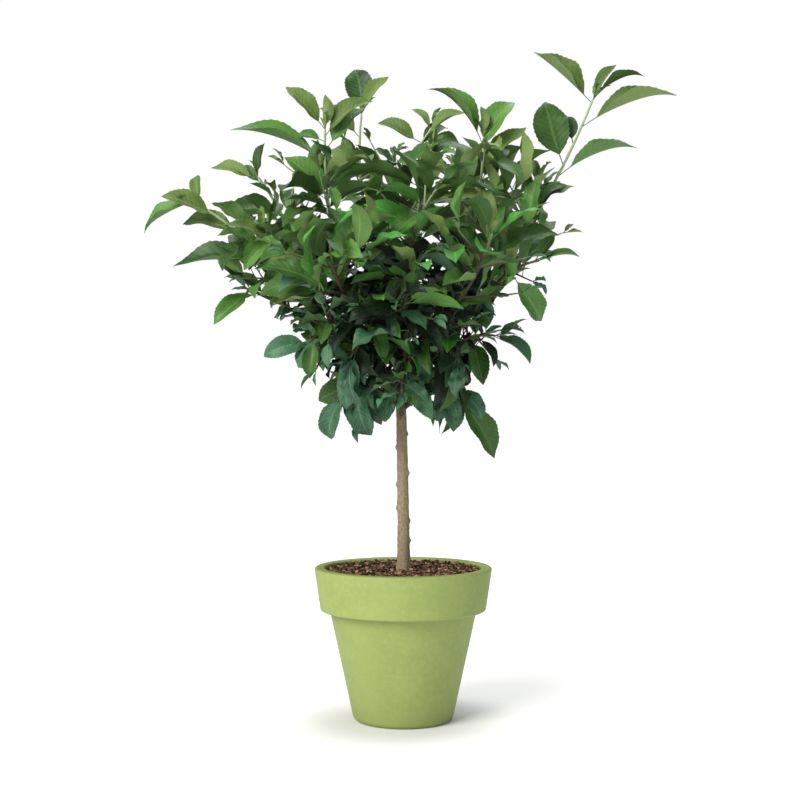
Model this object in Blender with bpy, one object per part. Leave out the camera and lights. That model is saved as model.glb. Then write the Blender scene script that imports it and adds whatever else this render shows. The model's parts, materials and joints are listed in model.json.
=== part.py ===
"""Dwarf apple tree in a round pot.

A turned pot stands on its flat underside and is filled with bark mulch.  A slim trunk rises from
the mulch and forks into tapering boughs.  Each bough ends at the stem of one mass of foliage, whose
twigs and leaves grow by one seeded rule inside the space that is nearest to that stem.
"""
import math
import random
from typing import NamedTuple

import bmesh
import bpy
from mathutils import Matrix, Vector
from mathutils.bvhtree import BVHTree

MM = 0.001
MERGE = 1e-4
SHARP_ANGLE = 40.0
UP = Vector((0, 0, 1))
FRONT = Vector((0, -1, 0))
SIDEWAYS = Vector((1, 0, 0))
NEARLY_ZERO = 0.05
GOLDEN_ANGLE = math.radians(137.5)

# Clearance between two separate pieces
GAP = 0.3

# Pot, in millimetres from its flat underside
POT_HEIGHT = 189.0
POT_SIDES = 32
RIM_RADIUS = 110.0
RIM_EDGE = 2.5
LIP_WIDTH = 13.0
COLLAR_FOOT_HEIGHT = 136.0
COLLAR_FOOT_RADIUS = 103.0
NECK_RADIUS = 91.0
FOOT_CORNER = 8.0
FOOT_SIDE_RADIUS = 63.0
BODY_WALL = 6.0
POT_FLOOR = 9.0
INNER_STEP_HEIGHTS = (150.0, 138.0)
INNER_DRAFT = 1.0

# Mulch that fills the pot
SOIL_TOP = 183.0
SOIL_FLAT_RADIUS = 15.0
SOIL_RINGS = 4
SOIL_LUMPS = (-1.6, 1.0)
SOIL_EDGE_DROP = 1.5

# Trunk, from its flat cut on the mulch to its fork
TRUNK_FOOT = (0.4, 0.0, SOIL_TOP + GAP)
TRUNK_BOW = (0.4, 0.0, 300.0)
TRUNK_TIP = (-4.0, 2.0, 428.0)
TRUNK_SIDES = 12
TRUNK_RINGS = 30
TRUNK_RADII = (7.8, 6.0)
FLARE_RADIUS = 2.9
FLARE_HEIGHT = 11.0
FLARE_LOBES = 5
FLARE_LOBE_SHARE = 0.3
FLARE_LOBE_TURN = 0.6
KNOT_HEIGHTS = (222.0, 246.0, 262.0, 291.0, 305.0, 337.0, 354.0, 372.0)
KNOT_RISE = 1.7
KNOT_SPREAD = 4.0
KNOT_ARC = 0.42

# Boughs
BOUGH_SIDES = 6
BOUGH_RINGS = 5

# Twigs: a stem from each bough's tip, with side twigs set round it
FIRST_SEED = 11
TRIES = 9
TWIG_SIDES = 3
STEM_RINGS = 5
TWIG_RINGS = 2
STEM_RADII = (2.0, 1.1)
TWIG_RADII = (1.5, 0.9)
FIRST_TWIG = 0.08
TWIG_SHRINK = 0.62
TWIG_LEAN = (0.55, 0.90)
TWIG_LIFT = 0.16
TWIG_TURN = 0.70
TWIG_MARGIN = 7.0
TWIG_CHECKS = 10

# Leaves: a kite of eight faces, folded along its midrib and rooted in the middle of its twig
LEAF_THICKNESS = 1.7
LEAF_WIDEST = 0.54
LEAF_ARCH = 0.07
LEAF_FOLD = 0.42
LEAF_SUNK = 0.4
LEAF_FACES = ((0, 2, 4), (2, 1, 4), (1, 3, 4), (3, 0, 4), (2, 0, 5), (1, 2, 5), (3, 1, 5), (0, 3, 5))

# Leafing rule: shares are along a twig, angles in degrees, and a leaf that finds no room turns on
TWIG_LEAVES = 6
LOWEST_LEAF = 0.14
LEAF_PITCH = (34.0, 82.0)
LEAF_PITCH_SPREAD = 10.0
LEAF_SIZES = (0.62, 1.0)
LEAF_SIZE_SPREAD = (0.86, 1.14)
LEAF_WIDTHS = (0.36, 0.45)
LEAF_EASE = (1.16, 0.84)
LEAF_TURN = 0.62
LEAF_ROLL = 0.6
LEAF_TO_TIP = 0.55
LEAF_TO_SKY = 0.85
DROOP_SPREAD = (0.2, 1.5)
SPACE_OVERLAP = 14.0
LIMB_MARGIN = 1.2

# Leaves that draw the outline: how they lean, how wide they are, and the turns they try
OUTLINE_LEAN = 0.30
OUTLINE_ROLL = 0.30
OUTLINE_WIDTHS = (0.40, 0.56)
OUTLINE_WIDTH_SPREAD = (0.90, 1.10)
OUTLINE_TURNS = (0.0, 0.25, -0.25, 0.5, -0.5, 0.8, -0.8)
OUTLINE_STEM_TOP = 0.5

# Room for the leaves: a funnel that opens upward from the lowest leaves
FUNNEL_CENTRE = -12.0
FUNNEL_FOOT_HEIGHT = 345.0
FUNNEL_FOOT_RADIUS = 86.0
FUNNEL_SLOPE = 0.63
FUNNEL_RADIUS = 224.0
FUNNEL_DEPTH_SHARE = 1.14
CROWN_TOP = 752.0


class Limb(NamedTuple):
    """A bough that leaves its parent and ends where it enters its mass of leaves."""

    parent: str
    share: float
    tip: tuple
    radius: float
    tip_radius: float
    sag: float


class Mass(NamedTuple):
    """A mass of foliage: its bough, the tip of its stem and how it is leafed."""

    bough: str
    tip: tuple
    leaves: int
    twigs: int
    twig_top: float
    twig_length: float
    leaf_length: float
    droop: float


# Parent, share along the parent, tip, radius at foot and tip, sag of the middle
LIMBS = {
    "bough_leader": Limb("trunk", 1.00, (-15, 12, 556), 4.9, 2.2, -4),
    "bough_left": Limb("trunk", 0.935, (-118, -6, 528), 5.0, 2.3, 3),
    "bough_right": Limb("trunk", 0.925, (112, 4, 548), 4.9, 2.3, 9),
    "bough_back": Limb("trunk", 0.900, (6, 112, 520), 4.5, 2.2, 10),
    "bough_front": Limb("trunk", 0.880, (4, -88, 478), 4.2, 2.2, 9),
    "bough_low_left": Limb("trunk", 0.845, (-38, -22, 416), 3.4, 2.0, 3),
    "bough_low_right": Limb("trunk", 0.830, (40, -12, 417), 3.4, 2.0, 3),
    "bough_left_upper": Limb("bough_left", 0.46, (-86, -4, 598), 3.3, 2.1, 8),
    "bough_left_high": Limb("bough_left", 0.80, (-134, 14, 590), 2.6, 1.9, 5),
    "bough_left_lower": Limb("bough_left", 0.56, (-132, 40, 506), 3.0, 2.0, 4),
    "bough_left_hanging": Limb("bough_left", 0.34, (-76, -50, 474), 3.0, 2.0, 4),
    "bough_right_upper": Limb("bough_right", 0.52, (84, -26, 596), 3.2, 2.1, 7),
    "bough_right_front": Limb("bough_right", 0.66, (116, -46, 540), 2.8, 2.0, 4),
    "bough_right_lower": Limb("bough_right", 0.34, (74, 26, 470), 3.0, 2.0, 4),
    "bough_leader_front": Limb("bough_leader", 0.50, (6, -48, 566), 3.0, 2.0, 6),
    "bough_leader_back": Limb("bough_leader", 0.66, (-44, 62, 622), 2.9, 2.0, 6),
    "bough_back_right": Limb("bough_back", 0.52, (86, 110, 536), 3.0, 2.0, 5),
    "bough_back_left": Limb("bough_back", 0.46, (-84, 100, 508), 3.0, 2.0, 5),
    "bough_back_low": Limb("bough_back", 0.34, (12, 84, 446), 2.9, 2.0, 4),
    "bough_front_left": Limb("bough_front", 0.50, (-58, -100, 504), 2.8, 2.0, 5),
    "bough_front_right": Limb("bough_front", 0.56, (62, -104, 508), 2.8, 2.0, 5),
    "bough_inner_left": Limb("bough_left", 0.16, (-34, -48, 462), 2.6, 1.9, 3),
    "bough_inner_right": Limb("bough_right", 0.18, (36, -44, 458), 2.6, 1.9, 3),
    "bough_inner_front": Limb("trunk", 0.790, (0, -46, 416), 3.0, 1.9, 2),
    "bough_inner_back": Limb("trunk", 0.800, (-6, 50, 420), 3.0, 1.9, 2),
}

# Bough, stem tip, leaves on the stem, side twigs, share of the last one and their length, leaf
# length, droop
MASSES = {
    "shoot_top_right": Mass("bough_right", (239, 14, 776), 11, 3, 0.34, 74, 89, 0.10),
    "shoot_upper_right": Mass("bough_right_upper", (98, -40, 716), 11, 4, 0.50, 72, 83, 0.08),
    "spray_right_front": Mass("bough_right_front", (163, -66, 563), 9, 4, 0.70, 66, 85, 0.28),
    "spray_right_low": Mass("bough_right_lower", (118, 42, 478), 9, 4, 0.70, 66, 83, 0.45),
    "shoot_upper_centre": Mass("bough_leader", (38, 52, 746), 11, 5, 0.66, 82, 81, 0.10),
    "shoot_back_top": Mass("bough_leader_back", (-54, 84, 770), 10, 4, 0.55, 78, 85, 0.10),
    "shoot_upper_left": Mass("bough_left_upper", (-96, -18, 730), 10, 4, 0.50, 74, 89, 0.08),
    "shoot_left_high": Mass("bough_left_high", (-182, 10, 676), 9, 3, 0.50, 58, 79, 0.12),
    "shoot_left": Mass("bough_left", (-258, -20, 640), 11, 3, 0.42, 70, 85, 0.16),
    "spray_left_low": Mass("bough_left_lower", (-196, 50, 538), 9, 4, 0.60, 70, 85, 0.30),
    "spray_left_hanging": Mass("bough_left_hanging", (-114, -88, 462), 9, 4, 0.72, 62, 79, 0.50),
    "spray_low_left": Mass("bough_low_left", (-70, -52, 404), 9, 3, 0.72, 52, 77, 0.65),
    "spray_low_right": Mass("bough_low_right", (68, -28, 398), 9, 3, 0.72, 52, 77, 0.65),
    "spray_front_upper": Mass("bough_leader_front", (38, -120, 640), 10, 5, 0.72, 76, 83, 0.16),
    "spray_front_left": Mass("bough_front_left", (-82, -176, 574), 10, 5, 0.72, 74, 85, 0.20),
    "spray_front_right": Mass("bough_front_right", (100, -160, 584), 10, 5, 0.72, 72, 83, 0.18),
    "spray_front": Mass("bough_front", (-8, -172, 502), 10, 5, 0.72, 72, 83, 0.34),
    "shoot_back_right": Mass("bough_back_right", (136, 170, 652), 11, 5, 0.72, 78, 87, 0.12),
    "spray_back_left": Mass("bough_back_left", (-152, 162, 580), 10, 5, 0.72, 78, 85, 0.22),
    "shoot_back": Mass("bough_back", (8, 206, 640), 11, 5, 0.72, 80, 87, 0.16),
    "spray_inner_left": Mass("bough_inner_left", (-62, -104, 446), 10, 4, 0.72, 58, 75, 0.35),
    "spray_inner_right": Mass("bough_inner_right", (66, -98, 440), 10, 4, 0.72, 58, 75, 0.35),
    "spray_inner_front": Mass("bough_inner_front", (-2, -104, 404), 9, 4, 0.72, 54, 73, 0.35),
    "spray_inner_back": Mass("bough_inner_back", (-8, 104, 402), 9, 4, 0.72, 56, 73, 0.35),
    "spray_back_low": Mass("bough_back_low", (18, 142, 456), 9, 5, 0.72, 68, 81, 0.50),
}

# Leaves that draw the outline: share along the stem, bearing across the front view, length, and how
# far the upper side turns to the front
OUTLINE_LEAVES = {
    "shoot_top_right": (
        (0.97, 131, 100, 0.3), (1.00, 59, 50, 0.5), (0.98, 29, 68, 0.3), (0.84, 22, 122, 0.3),
        (0.57, 25, 106, 0.3), (0.64, 104, 87, 1.0), (0.75, 100, 42, 0.9), (0.32, 58, 62, 0.6),
    ),
    "shoot_upper_right": (
        (0.90, 129, 97, 0.4), (0.85, 60, 75, 0.5), (0.70, 46, 74, 0.5), (0.74, 124, 40, 0.5),
        (1.00, 95, 34, 0.4), (0.52, 58, 66, 0.8),
    ),
    "spray_right_front": (
        (1.00, 8, 46, 0.3), (0.62, 337, 52, 0.4), (0.34, 308, 74, 0.8), (0.90, 55, 42, 0.5),
    ),
    "spray_right_low": (
        (0.85, 328, 62, 0.5), (0.50, 300, 44, 0.5), (1.00, 20, 34, 0.5), (0.30, 285, 60, 0.7),
    ),
    "shoot_upper_centre": (
        (0.98, 128, 38, 0.5), (0.93, 33, 56, 0.5), (0.84, 42, 52, 0.6), (0.88, 151, 64, 0.6),
    ),
    "shoot_back_top": ((0.97, 98, 68, 1.0), (1.00, 55, 56, 0.6), (0.80, 140, 66, 0.6)),
    "shoot_upper_left": (
        (0.99, 130, 70, 0.5), (0.70, 158, 119, 0.3), (0.93, 40, 74, 0.5), (0.80, 52, 76, 0.6),
        (1.00, 88, 40, 0.4), (0.88, 165, 36, 0.5), (0.34, 135, 70, 0.8), (0.22, 150, 60, 0.8),
    ),
    "shoot_left_high": (
        (0.96, 163, 66, 0.5), (1.00, 80, 42, 0.6), (0.55, 178, 66, 0.8), (0.85, 150, 52, 0.5),
    ),
    "shoot_left": (
        (1.00, 205, 75, 0.3), (0.80, 157, 72, 0.6), (0.96, 98, 42, 0.6), (0.99, 140, 26, 0.4),
        (0.60, 165, 80, 0.4), (0.30, 178, 128, 0.4),
    ),
    "spray_left_low": (
        (0.45, 176, 62, 0.4), (0.85, 204, 50, 0.4), (0.97, 224, 62, 0.8), (0.70, 150, 56, 0.5),
    ),
    "spray_left_hanging": ((0.95, 197, 54, 0.8), (0.60, 232, 52, 0.8), (0.85, 265, 46, 0.8)),
    "spray_low_left": (
        (0.15, 201, 66, 0.9), (1.00, 250, 60, 0.6), (0.60, 284, 68, 0.6), (0.35, 302, 58, 0.6),
    ),
    "spray_low_right": (
        (0.50, 278, 60, 0.8), (1.00, 303, 90, 0.7), (0.80, 314, 48, 0.6), (0.30, 262, 50, 0.8),
    ),
}

# Base colours, roughness: linear values of the finished surfaces
COLOURS = {
    "pot": ((0.40, 0.48, 0.15), 0.55),
    "mulch": ((0.10, 0.045, 0.03), 0.95),
    "bark": ((0.27, 0.20, 0.13), 0.85),
    "bough_bark": ((0.20, 0.17, 0.10), 0.80),
    "leaf_light": ((0.13, 0.26, 0.05), 0.50),
    "leaf_mid": ((0.07, 0.18, 0.04), 0.50),
    "leaf_dark": ((0.03, 0.10, 0.05), 0.50),
}


# The foliage's colours, youngest first, and the height of stem tip that each one starts at
FOLIAGE_FROM = {"leaf_light": 600.0, "leaf_mid": 500.0, "leaf_dark": 0.0}


class Axis(NamedTuple):
    """The middle line of a limb or twig, its radius at each point and its heading at the foot."""

    points: list
    radii: list
    foot_heading: Vector


class Leaf(NamedTuple):
    """One leaf: where it is rooted, its unit directions, its size and its age from 0 to 1."""

    root: Vector
    along: Vector
    face: Vector
    length: float
    width: float
    age: float


def clear_scene() -> None:
    """Remove whatever the scene holds."""
    for item in list(bpy.data.objects):
        bpy.data.objects.remove(item, do_unlink=True)


def bezier(start: Vector, middle: Vector, end: Vector, share: float) -> Vector:
    """Return the point at a share of a quadratic curve."""
    rest = 1 - share
    return start * rest * rest + middle * (2 * rest * share) + end * share * share


def lerp(first: float, last: float, share: float) -> float:
    """Blend two numbers."""
    return first + (last - first) * share


def curved_axis(start: Vector, middle: Vector, end: Vector, radii: tuple, rings: int) -> Axis:
    """Return a curved middle line whose radius tapers evenly from foot to tip."""
    shares = [index / rings for index in range(rings + 1)]
    points = [bezier(start, middle, end, share) for share in shares]
    return Axis(points, [lerp(*radii, share) for share in shares], (middle - start).normalized())


def at_share(axis: Axis, share: float) -> tuple:
    """Return point, direction and radius at a share of an axis."""
    place = min(max(share, 0.0), 1.0) * (len(axis.points) - 1)
    index = min(int(place), len(axis.points) - 2)
    part = place - index
    point = axis.points[index].lerp(axis.points[index + 1], part)
    heading = (axis.points[index + 1] - axis.points[index]).normalized()
    return point, heading, lerp(axis.radii[index], axis.radii[index + 1], part)


def across(direction: Vector) -> Vector:
    """Return a unit vector square to a direction, kept level where that is possible."""
    level = UP.cross(direction)
    if level.length < NEARLY_ZERO:
        level = SIDEWAYS - direction * direction.x
    return level.normalized()


def turned(direction: Vector, angle: float) -> Vector:
    """Return the unit vector square to a direction at an angle round it."""
    return Matrix.Rotation(angle, 3, direction) @ across(direction)


def distance_to_axis(point: Vector, axis: Axis) -> tuple:
    """Return the distance from a point to an axis, and the radius of the axis there."""
    best = (math.inf, 0.0)
    for index in range(len(axis.points) - 1):
        foot = axis.points[index]
        span = axis.points[index + 1] - foot
        share = min(max((point - foot).dot(span) / span.length_squared, 0.0), 1.0)
        gap = (foot + span * share - point).length
        if gap < best[0]:
            best = (gap, lerp(axis.radii[index], axis.radii[index + 1], share))
    return best


def is_clear_of(points: list, axes: list) -> bool:
    """Tell whether every point keeps a twig's margin from the surface of every axis."""
    for axis in axes:
        for point in points:
            gap, radius = distance_to_axis(point, axis)
            if gap < radius + TWIG_MARGIN:
                return False
    return True


def carried_on(parent: Axis, tip: tuple, radii: tuple, rings: int) -> Axis:
    """Return an axis that carries on from a parent's tip, with a small clearance."""
    foot, heading, _radius = at_share(parent, 1.0)
    start = foot + heading * GAP
    end = Vector(tip)
    return curved_axis(start, start + heading * (end - start).length / 2, end, radii, rings)


def grow_limbs() -> dict:
    """Return the axes of the trunk and of every bough."""
    foot, bow, tip = Vector(TRUNK_FOOT), Vector(TRUNK_BOW), Vector(TRUNK_TIP)
    limbs = {"trunk": curved_axis(foot, bow, tip, TRUNK_RADII, TRUNK_RINGS)}
    for name, limb in LIMBS.items():
        parent = limbs[limb.parent]
        radii = (limb.radius, limb.tip_radius)
        if limb.share == 1.0:
            limbs[name] = carried_on(parent, limb.tip, radii, BOUGH_RINGS)
            continue
        start = at_share(parent, limb.share)[0]
        end = Vector(limb.tip)
        middle = (start + end) / 2 - UP * limb.sag
        limbs[name] = curved_axis(start, middle, end, radii, BOUGH_RINGS)
    return limbs


def grow_stems(limbs: dict) -> dict:
    """Return the stem of each mass, which carries on from its bough's tip."""
    stems = {}
    for name, mass in MASSES.items():
        stems[name] = carried_on(limbs[mass.bough], mass.tip, STEM_RADII, STEM_RINGS)
    return stems


def is_own_space(points: list, name: str, stems: dict) -> bool:
    """Tell whether every point is about as near to its own mass's stem as to any other."""
    for point in points:
        own = distance_to_axis(point, stems[name])[0] - SPACE_OVERLAP
        for other, stem in stems.items():
            if other != name and distance_to_axis(point, stem)[0] < own:
                return False
    return True


def is_in_crown(points: list) -> bool:
    """Tell whether every point lies inside the crown's funnel and under its top."""
    for point in points:
        rise = point.z - FUNNEL_FOOT_HEIGHT
        room = min(FUNNEL_FOOT_RADIUS + rise * FUNNEL_SLOPE, FUNNEL_RADIUS)
        reach = math.hypot(point.x - FUNNEL_CENTRE, point.y / FUNNEL_DEPTH_SHARE)
        if rise < 0 or point.z > CROWN_TOP or reach > room:
            return False
    return True


def seeded(name: str, purpose: int) -> random.Random:
    """Return a mass's own seeded rule for one purpose."""
    return random.Random(FIRST_SEED + list(MASSES).index(name) + 100 * purpose)


def grow_twigs(name: str, stems: dict, limbs: dict) -> list:
    """Return a mass's side twigs, set round its stem at the golden angle."""
    mass = MASSES[name]
    rule = seeded(name, 0)
    stem = stems[name]
    twigs = []
    turn = rule.uniform(0, math.tau)
    for index in range(mass.twigs):
        share = lerp(FIRST_TWIG, mass.twig_top, (index + rule.random()) / mass.twigs)
        length = mass.twig_length * lerp(1.0, TWIG_SHRINK, share)
        start, heading, _radius = at_share(stem, share)
        for attempt in range(TRIES):
            side = turned(heading, turn + attempt * TWIG_TURN)
            way = (side + heading * rule.uniform(*TWIG_LEAN)).normalized() * length
            end = start + way + UP * length * (TWIG_LIFT - mass.droop / 2)
            twig = curved_axis(start, start + way / 2, end, TWIG_RADII, TWIG_RINGS)
            free = [at_share(twig, step / TWIG_CHECKS)[0] for step in range(2, TWIG_CHECKS + 1)]
            wood = list(limbs.values()) + [stem] + twigs
            if is_in_crown(free) and is_own_space(free, name, stems) and is_clear_of(free, wood):
                twigs.append(twig)
                break
        turn += GOLDEN_ANGLE
    return twigs


def leaf_corners(leaf: Leaf) -> list:
    """Return root, tip, left, right, upper and lower points of a leaf folded along its midrib."""
    widest = leaf.root + (leaf.along * LEAF_WIDEST + leaf.face * LEAF_ARCH) * leaf.length
    side = leaf.along.cross(leaf.face) * leaf.width / 2
    raised = leaf.face * leaf.width / 2 * LEAF_FOLD
    half = leaf.face * LEAF_THICKNESS / 2
    return [
        leaf.root - leaf.along * LEAF_SUNK,
        leaf.root + leaf.along * leaf.length,
        widest - side + raised,
        widest + side + raised,
        widest + half,
        widest - half,
    ]


def leaf_samples(leaf: Leaf) -> list:
    """Return points spread over a leaf, away from its root."""
    root, tip, left, right, upper, _lower = leaf_corners(leaf)
    return [
        tip, left, right, upper,
        root.lerp(upper, 0.55), upper.lerp(tip, 0.5), left.lerp(tip, 0.5), right.lerp(tip, 0.5),
        root.lerp(left, 0.6), root.lerp(right, 0.6),
    ]


def skin_tree(axis: Axis) -> BVHTree:
    """Return the skin of a limb or twig, grown by the room that leaves must leave it."""
    shape = tube(axis, BOUGH_SIDES, LIMB_MARGIN)
    tree = BVHTree.FromBMesh(shape)
    shape.free()
    return tree


class Crown:
    """Every leaf placed so far, so that a new one can be kept clear of them."""

    def __init__(self, limbs: dict, stems: dict, twigs: dict) -> None:
        self.stems = stems
        wood = list(limbs.values()) + list(stems.values())
        wood += [twig for group in twigs.values() for twig in group]
        self.twigs = twigs
        self.wood = [(axis, skin_tree(axis)) for axis in wood]
        self.leaves = {name: [] for name in MASSES}
        self.trees = []

    def try_leaf(self, name: str, leaf: Leaf, own_axis: Axis, outline: bool = False) -> bool:
        """Place a leaf if it keeps to its mass's space and touches no limb, twig or leaf."""
        samples = leaf_samples(leaf)
        if not outline and not (is_in_crown(samples) and is_own_space(samples, name, self.stems)):
            return False
        middle = leaf.root + leaf.along * leaf.length / 2
        reach = leaf.length * 0.6
        tree = BVHTree.FromPolygons(leaf_corners(leaf), LEAF_FACES)
        if any(axis is not own_axis and tree.overlap(skin) for axis, skin in self.wood):
            return False
        for other_middle, other_reach, other_tree in self.trees:
            if (other_middle - middle).length < reach + other_reach and tree.overlap(other_tree):
                return False
        self.trees.append((middle, reach, tree))
        self.leaves[name].append(leaf)
        return True


def leaf_facing(along: Vector, heading: Vector, roll: float) -> Vector:
    """Return the direction a leaf's upper side looks in, between its twig's heading and the sky."""
    wish = heading * LEAF_TO_TIP + UP * LEAF_TO_SKY
    face = wish - along * wish.dot(along)
    if face.length < NEARLY_ZERO:
        face = across(along)
    return Matrix.Rotation(roll, 3, along) @ face.normalized()


def add_outline_leaves(crown: Crown, name: str) -> None:
    """Place the leaves that draw a mass's outline, square to the line of sight but for a lean."""
    rule = seeded(name, 1)
    stem = crown.stems[name]
    for share, bearing, length, shown in OUTLINE_LEAVES.get(name, ()):
        root, heading, _radius = at_share(stem, share)
        angle = math.radians(bearing)
        lean = rule.uniform(-OUTLINE_LEAN, OUTLINE_LEAN)
        roll = rule.uniform(-OUTLINE_ROLL, OUTLINE_ROLL)
        width = length * lerp(*OUTLINE_WIDTHS, shown) * rule.uniform(*OUTLINE_WIDTH_SPREAD)
        for turn in OUTLINE_TURNS:
            along = Vector((math.cos(angle), lean + turn, math.sin(angle)))
            reach = length * along.length
            along.normalize()
            face = leaf_facing(along, heading, roll).lerp(FRONT, shown)
            face = (face - along * face.dot(along)).normalized()
            if crown.try_leaf(name, Leaf(root, along, face, reach, width, 1 - share), stem, True):
                break


def add_leaves(crown: Crown, name: str, axis: Axis, count: int, top: float,
               rule: random.Random) -> None:
    """Set leaves round an axis at the golden angle, upright at its tip and spread at its foot."""
    mass = MASSES[name]
    turn = rule.uniform(0, math.tau)
    for index in range(count):
        share = lerp(top, LOWEST_LEAF, (index + rule.uniform(0.0, 0.4)) / count)
        age = 1 - share
        root, heading, _radius = at_share(axis, share)
        size = lerp(*LEAF_SIZES, min(age * 2.6, 1.0)) * rule.uniform(*LEAF_SIZE_SPREAD)
        pitch = lerp(*LEAF_PITCH, min(age * 1.7, 1.0))
        pitch = math.radians(pitch + rule.uniform(-LEAF_PITCH_SPREAD, LEAF_PITCH_SPREAD))
        droop = mass.droop * rule.uniform(*DROOP_SPREAD)
        slim = rule.uniform(*LEAF_WIDTHS)
        roll = rule.uniform(-LEAF_ROLL, LEAF_ROLL)
        for attempt in range(TRIES):
            ease = attempt / TRIES
            side = turned(heading, turn + attempt * LEAF_TURN)
            along = heading * math.cos(pitch) + side * math.sin(pitch) - UP * droop * (1 - ease)
            along = along.normalized()
            face = leaf_facing(along, heading, roll)
            length = mass.leaf_length * size * lerp(*LEAF_EASE, ease)
            if crown.try_leaf(name, Leaf(root, along, face, length, length * slim, age), axis):
                break
        turn += GOLDEN_ANGLE


def grow_crown(limbs: dict) -> Crown:
    """Grow the stems, twigs and leaves of every mass."""
    stems = grow_stems(limbs)
    twigs = {name: grow_twigs(name, stems, limbs) for name in MASSES}
    crown = Crown(limbs, stems, twigs)
    for name in MASSES:
        add_outline_leaves(crown, name)
    for name, mass in MASSES.items():
        rule = seeded(name, 2)
        top = OUTLINE_STEM_TOP if name in OUTLINE_LEAVES else 1.0
        add_leaves(crown, name, stems[name], round(mass.leaves * top), top, rule)
        for twig in twigs[name]:
            add_leaves(crown, name, twig, TWIG_LEAVES, 1.0, rule)
    return crown


def make_material(name: str) -> bpy.types.Material:
    """Return a plain material with a part's colour and roughness."""
    colour, roughness = COLOURS[name]
    material = bpy.data.materials.get(name) or bpy.data.materials.new(name)
    material.use_nodes = True
    shader = material.node_tree.nodes["Principled BSDF"]
    shader.inputs["Base Color"].default_value = (*colour, 1)
    shader.inputs["Roughness"].default_value = roughness
    shader.inputs["Metallic"].default_value = 0
    material.diffuse_color = (*colour, 1)
    return material


def add_object(name: str, mesh: bpy.types.Mesh, material: str, parent: bpy.types.Object) -> None:
    """Link a mesh to the scene as a named object of the plant."""
    item = bpy.data.objects.new(name, mesh)
    mesh.materials.clear()
    mesh.materials.append(make_material(material))
    item.parent = parent
    bpy.context.scene.collection.objects.link(item)


def mesh_from(shape: bmesh.types.BMesh, name: str, smooth: bool = True) -> bpy.types.Mesh:
    """Turn an edit mesh into a mesh in metres, with its faces pointing out."""
    bmesh.ops.remove_doubles(shape, verts=shape.verts, dist=MERGE)
    bmesh.ops.recalc_face_normals(shape, faces=shape.faces)
    bmesh.ops.scale(shape, vec=(MM, MM, MM), verts=shape.verts)
    mesh = bpy.data.meshes.new(name)
    shape.to_mesh(mesh)
    shape.free()
    if smooth:
        mesh.shade_smooth()
        mesh.set_sharp_from_angle(angle=math.radians(SHARP_ANGLE))
    return mesh


def bridge_rings(shape: bmesh.types.BMesh, rings: list) -> None:
    """Join rings of vertices into a closed skin with flat ends."""
    shape.faces.new(list(reversed(rings[0])))
    shape.faces.new(rings[-1])
    for lower, upper in zip(rings, rings[1:]):
        count = len(lower)
        for index in range(count):
            after = (index + 1) % count
            shape.faces.new((lower[index], lower[after], upper[after], upper[index]))


def no_relief(_point: Vector, _angle: float) -> float:
    """Leave a limb smooth."""
    return 0.0


def tube(axis: Axis, sides: int, grown: float = 0.0, relief=no_relief) -> bmesh.types.BMesh:
    """Return a tapering tube round an axis, with its frame carried along without twist."""
    shape = bmesh.new()
    rings = []
    sideways = across(axis.foot_heading)
    last = len(axis.points) - 1
    for index, (point, radius) in enumerate(zip(axis.points, axis.radii)):
        heading = (axis.points[min(index + 1, last)] - axis.points[max(index - 1, 0)]).normalized()
        if index == 0:
            heading = axis.foot_heading
        sideways = (sideways - heading * sideways.dot(heading)).normalized()
        ring = []
        for corner in range(sides):
            angle = math.tau * corner / sides
            spoke = Matrix.Rotation(angle, 3, heading) @ sideways
            ring.append(shape.verts.new(point + spoke * (radius + grown + relief(point, angle))))
        rings.append(ring)
    bridge_rings(shape, rings)
    return shape


def turned_solid(outline: list) -> bmesh.types.BMesh:
    """Spin an outline of (radius, height) pairs, which starts and ends on the axis."""
    shape = bmesh.new()
    verts = [shape.verts.new((radius, 0, height)) for radius, height in outline]
    edges = [shape.edges.new(pair) for pair in zip(verts, verts[1:])]
    bmesh.ops.spin(shape, geom=verts + edges, axis=UP, cent=(0, 0, 0), steps=POT_SIDES,
                   angle=math.tau, use_merge=True)
    return shape


def arc(centre: tuple, radius: float, first: float, last: float, steps: int) -> list:
    """Return points along an arc in the outline's plane, angles in degrees."""
    angles = [math.radians(lerp(first, last, index / steps)) for index in range(steps + 1)]
    return [(centre[0] + radius * math.cos(a), centre[1] + radius * math.sin(a)) for a in angles]


def inner_wall() -> list:
    """Return the outline of the pot's inside, from its lip to the middle of its floor."""
    lip = RIM_RADIUS - LIP_WIDTH
    return [
        (lip - INNER_DRAFT, INNER_STEP_HEIGHTS[0]),
        (NECK_RADIUS - BODY_WALL, INNER_STEP_HEIGHTS[1]),
        (FOOT_SIDE_RADIUS - BODY_WALL, POT_FLOOR),
        (0.0, POT_FLOOR),
    ]


def make_pot(parent: bpy.types.Object) -> None:
    """Build the pot: flat foot, tapering body, deep collar and a rounded lip."""
    lip = RIM_RADIUS - LIP_WIDTH
    foot_radius = FOOT_SIDE_RADIUS - FOOT_CORNER
    outline = [(0.0, 0.0)]
    outline += arc((foot_radius, FOOT_CORNER), FOOT_CORNER, -90, -12, 3)
    outline += [(NECK_RADIUS, COLLAR_FOOT_HEIGHT)]
    outline += arc((COLLAR_FOOT_RADIUS - RIM_EDGE, COLLAR_FOOT_HEIGHT + RIM_EDGE), RIM_EDGE, -90, 0, 2)
    outline += arc((RIM_RADIUS - RIM_EDGE, POT_HEIGHT - RIM_EDGE), RIM_EDGE, 0, 90, 2)
    outline += arc((lip + RIM_EDGE, POT_HEIGHT - RIM_EDGE), RIM_EDGE, 90, 180, 2)
    outline += inner_wall()
    shape = turned_solid(outline)
    add_object("pot", mesh_from(shape, "pot"), "pot", parent)


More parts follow.
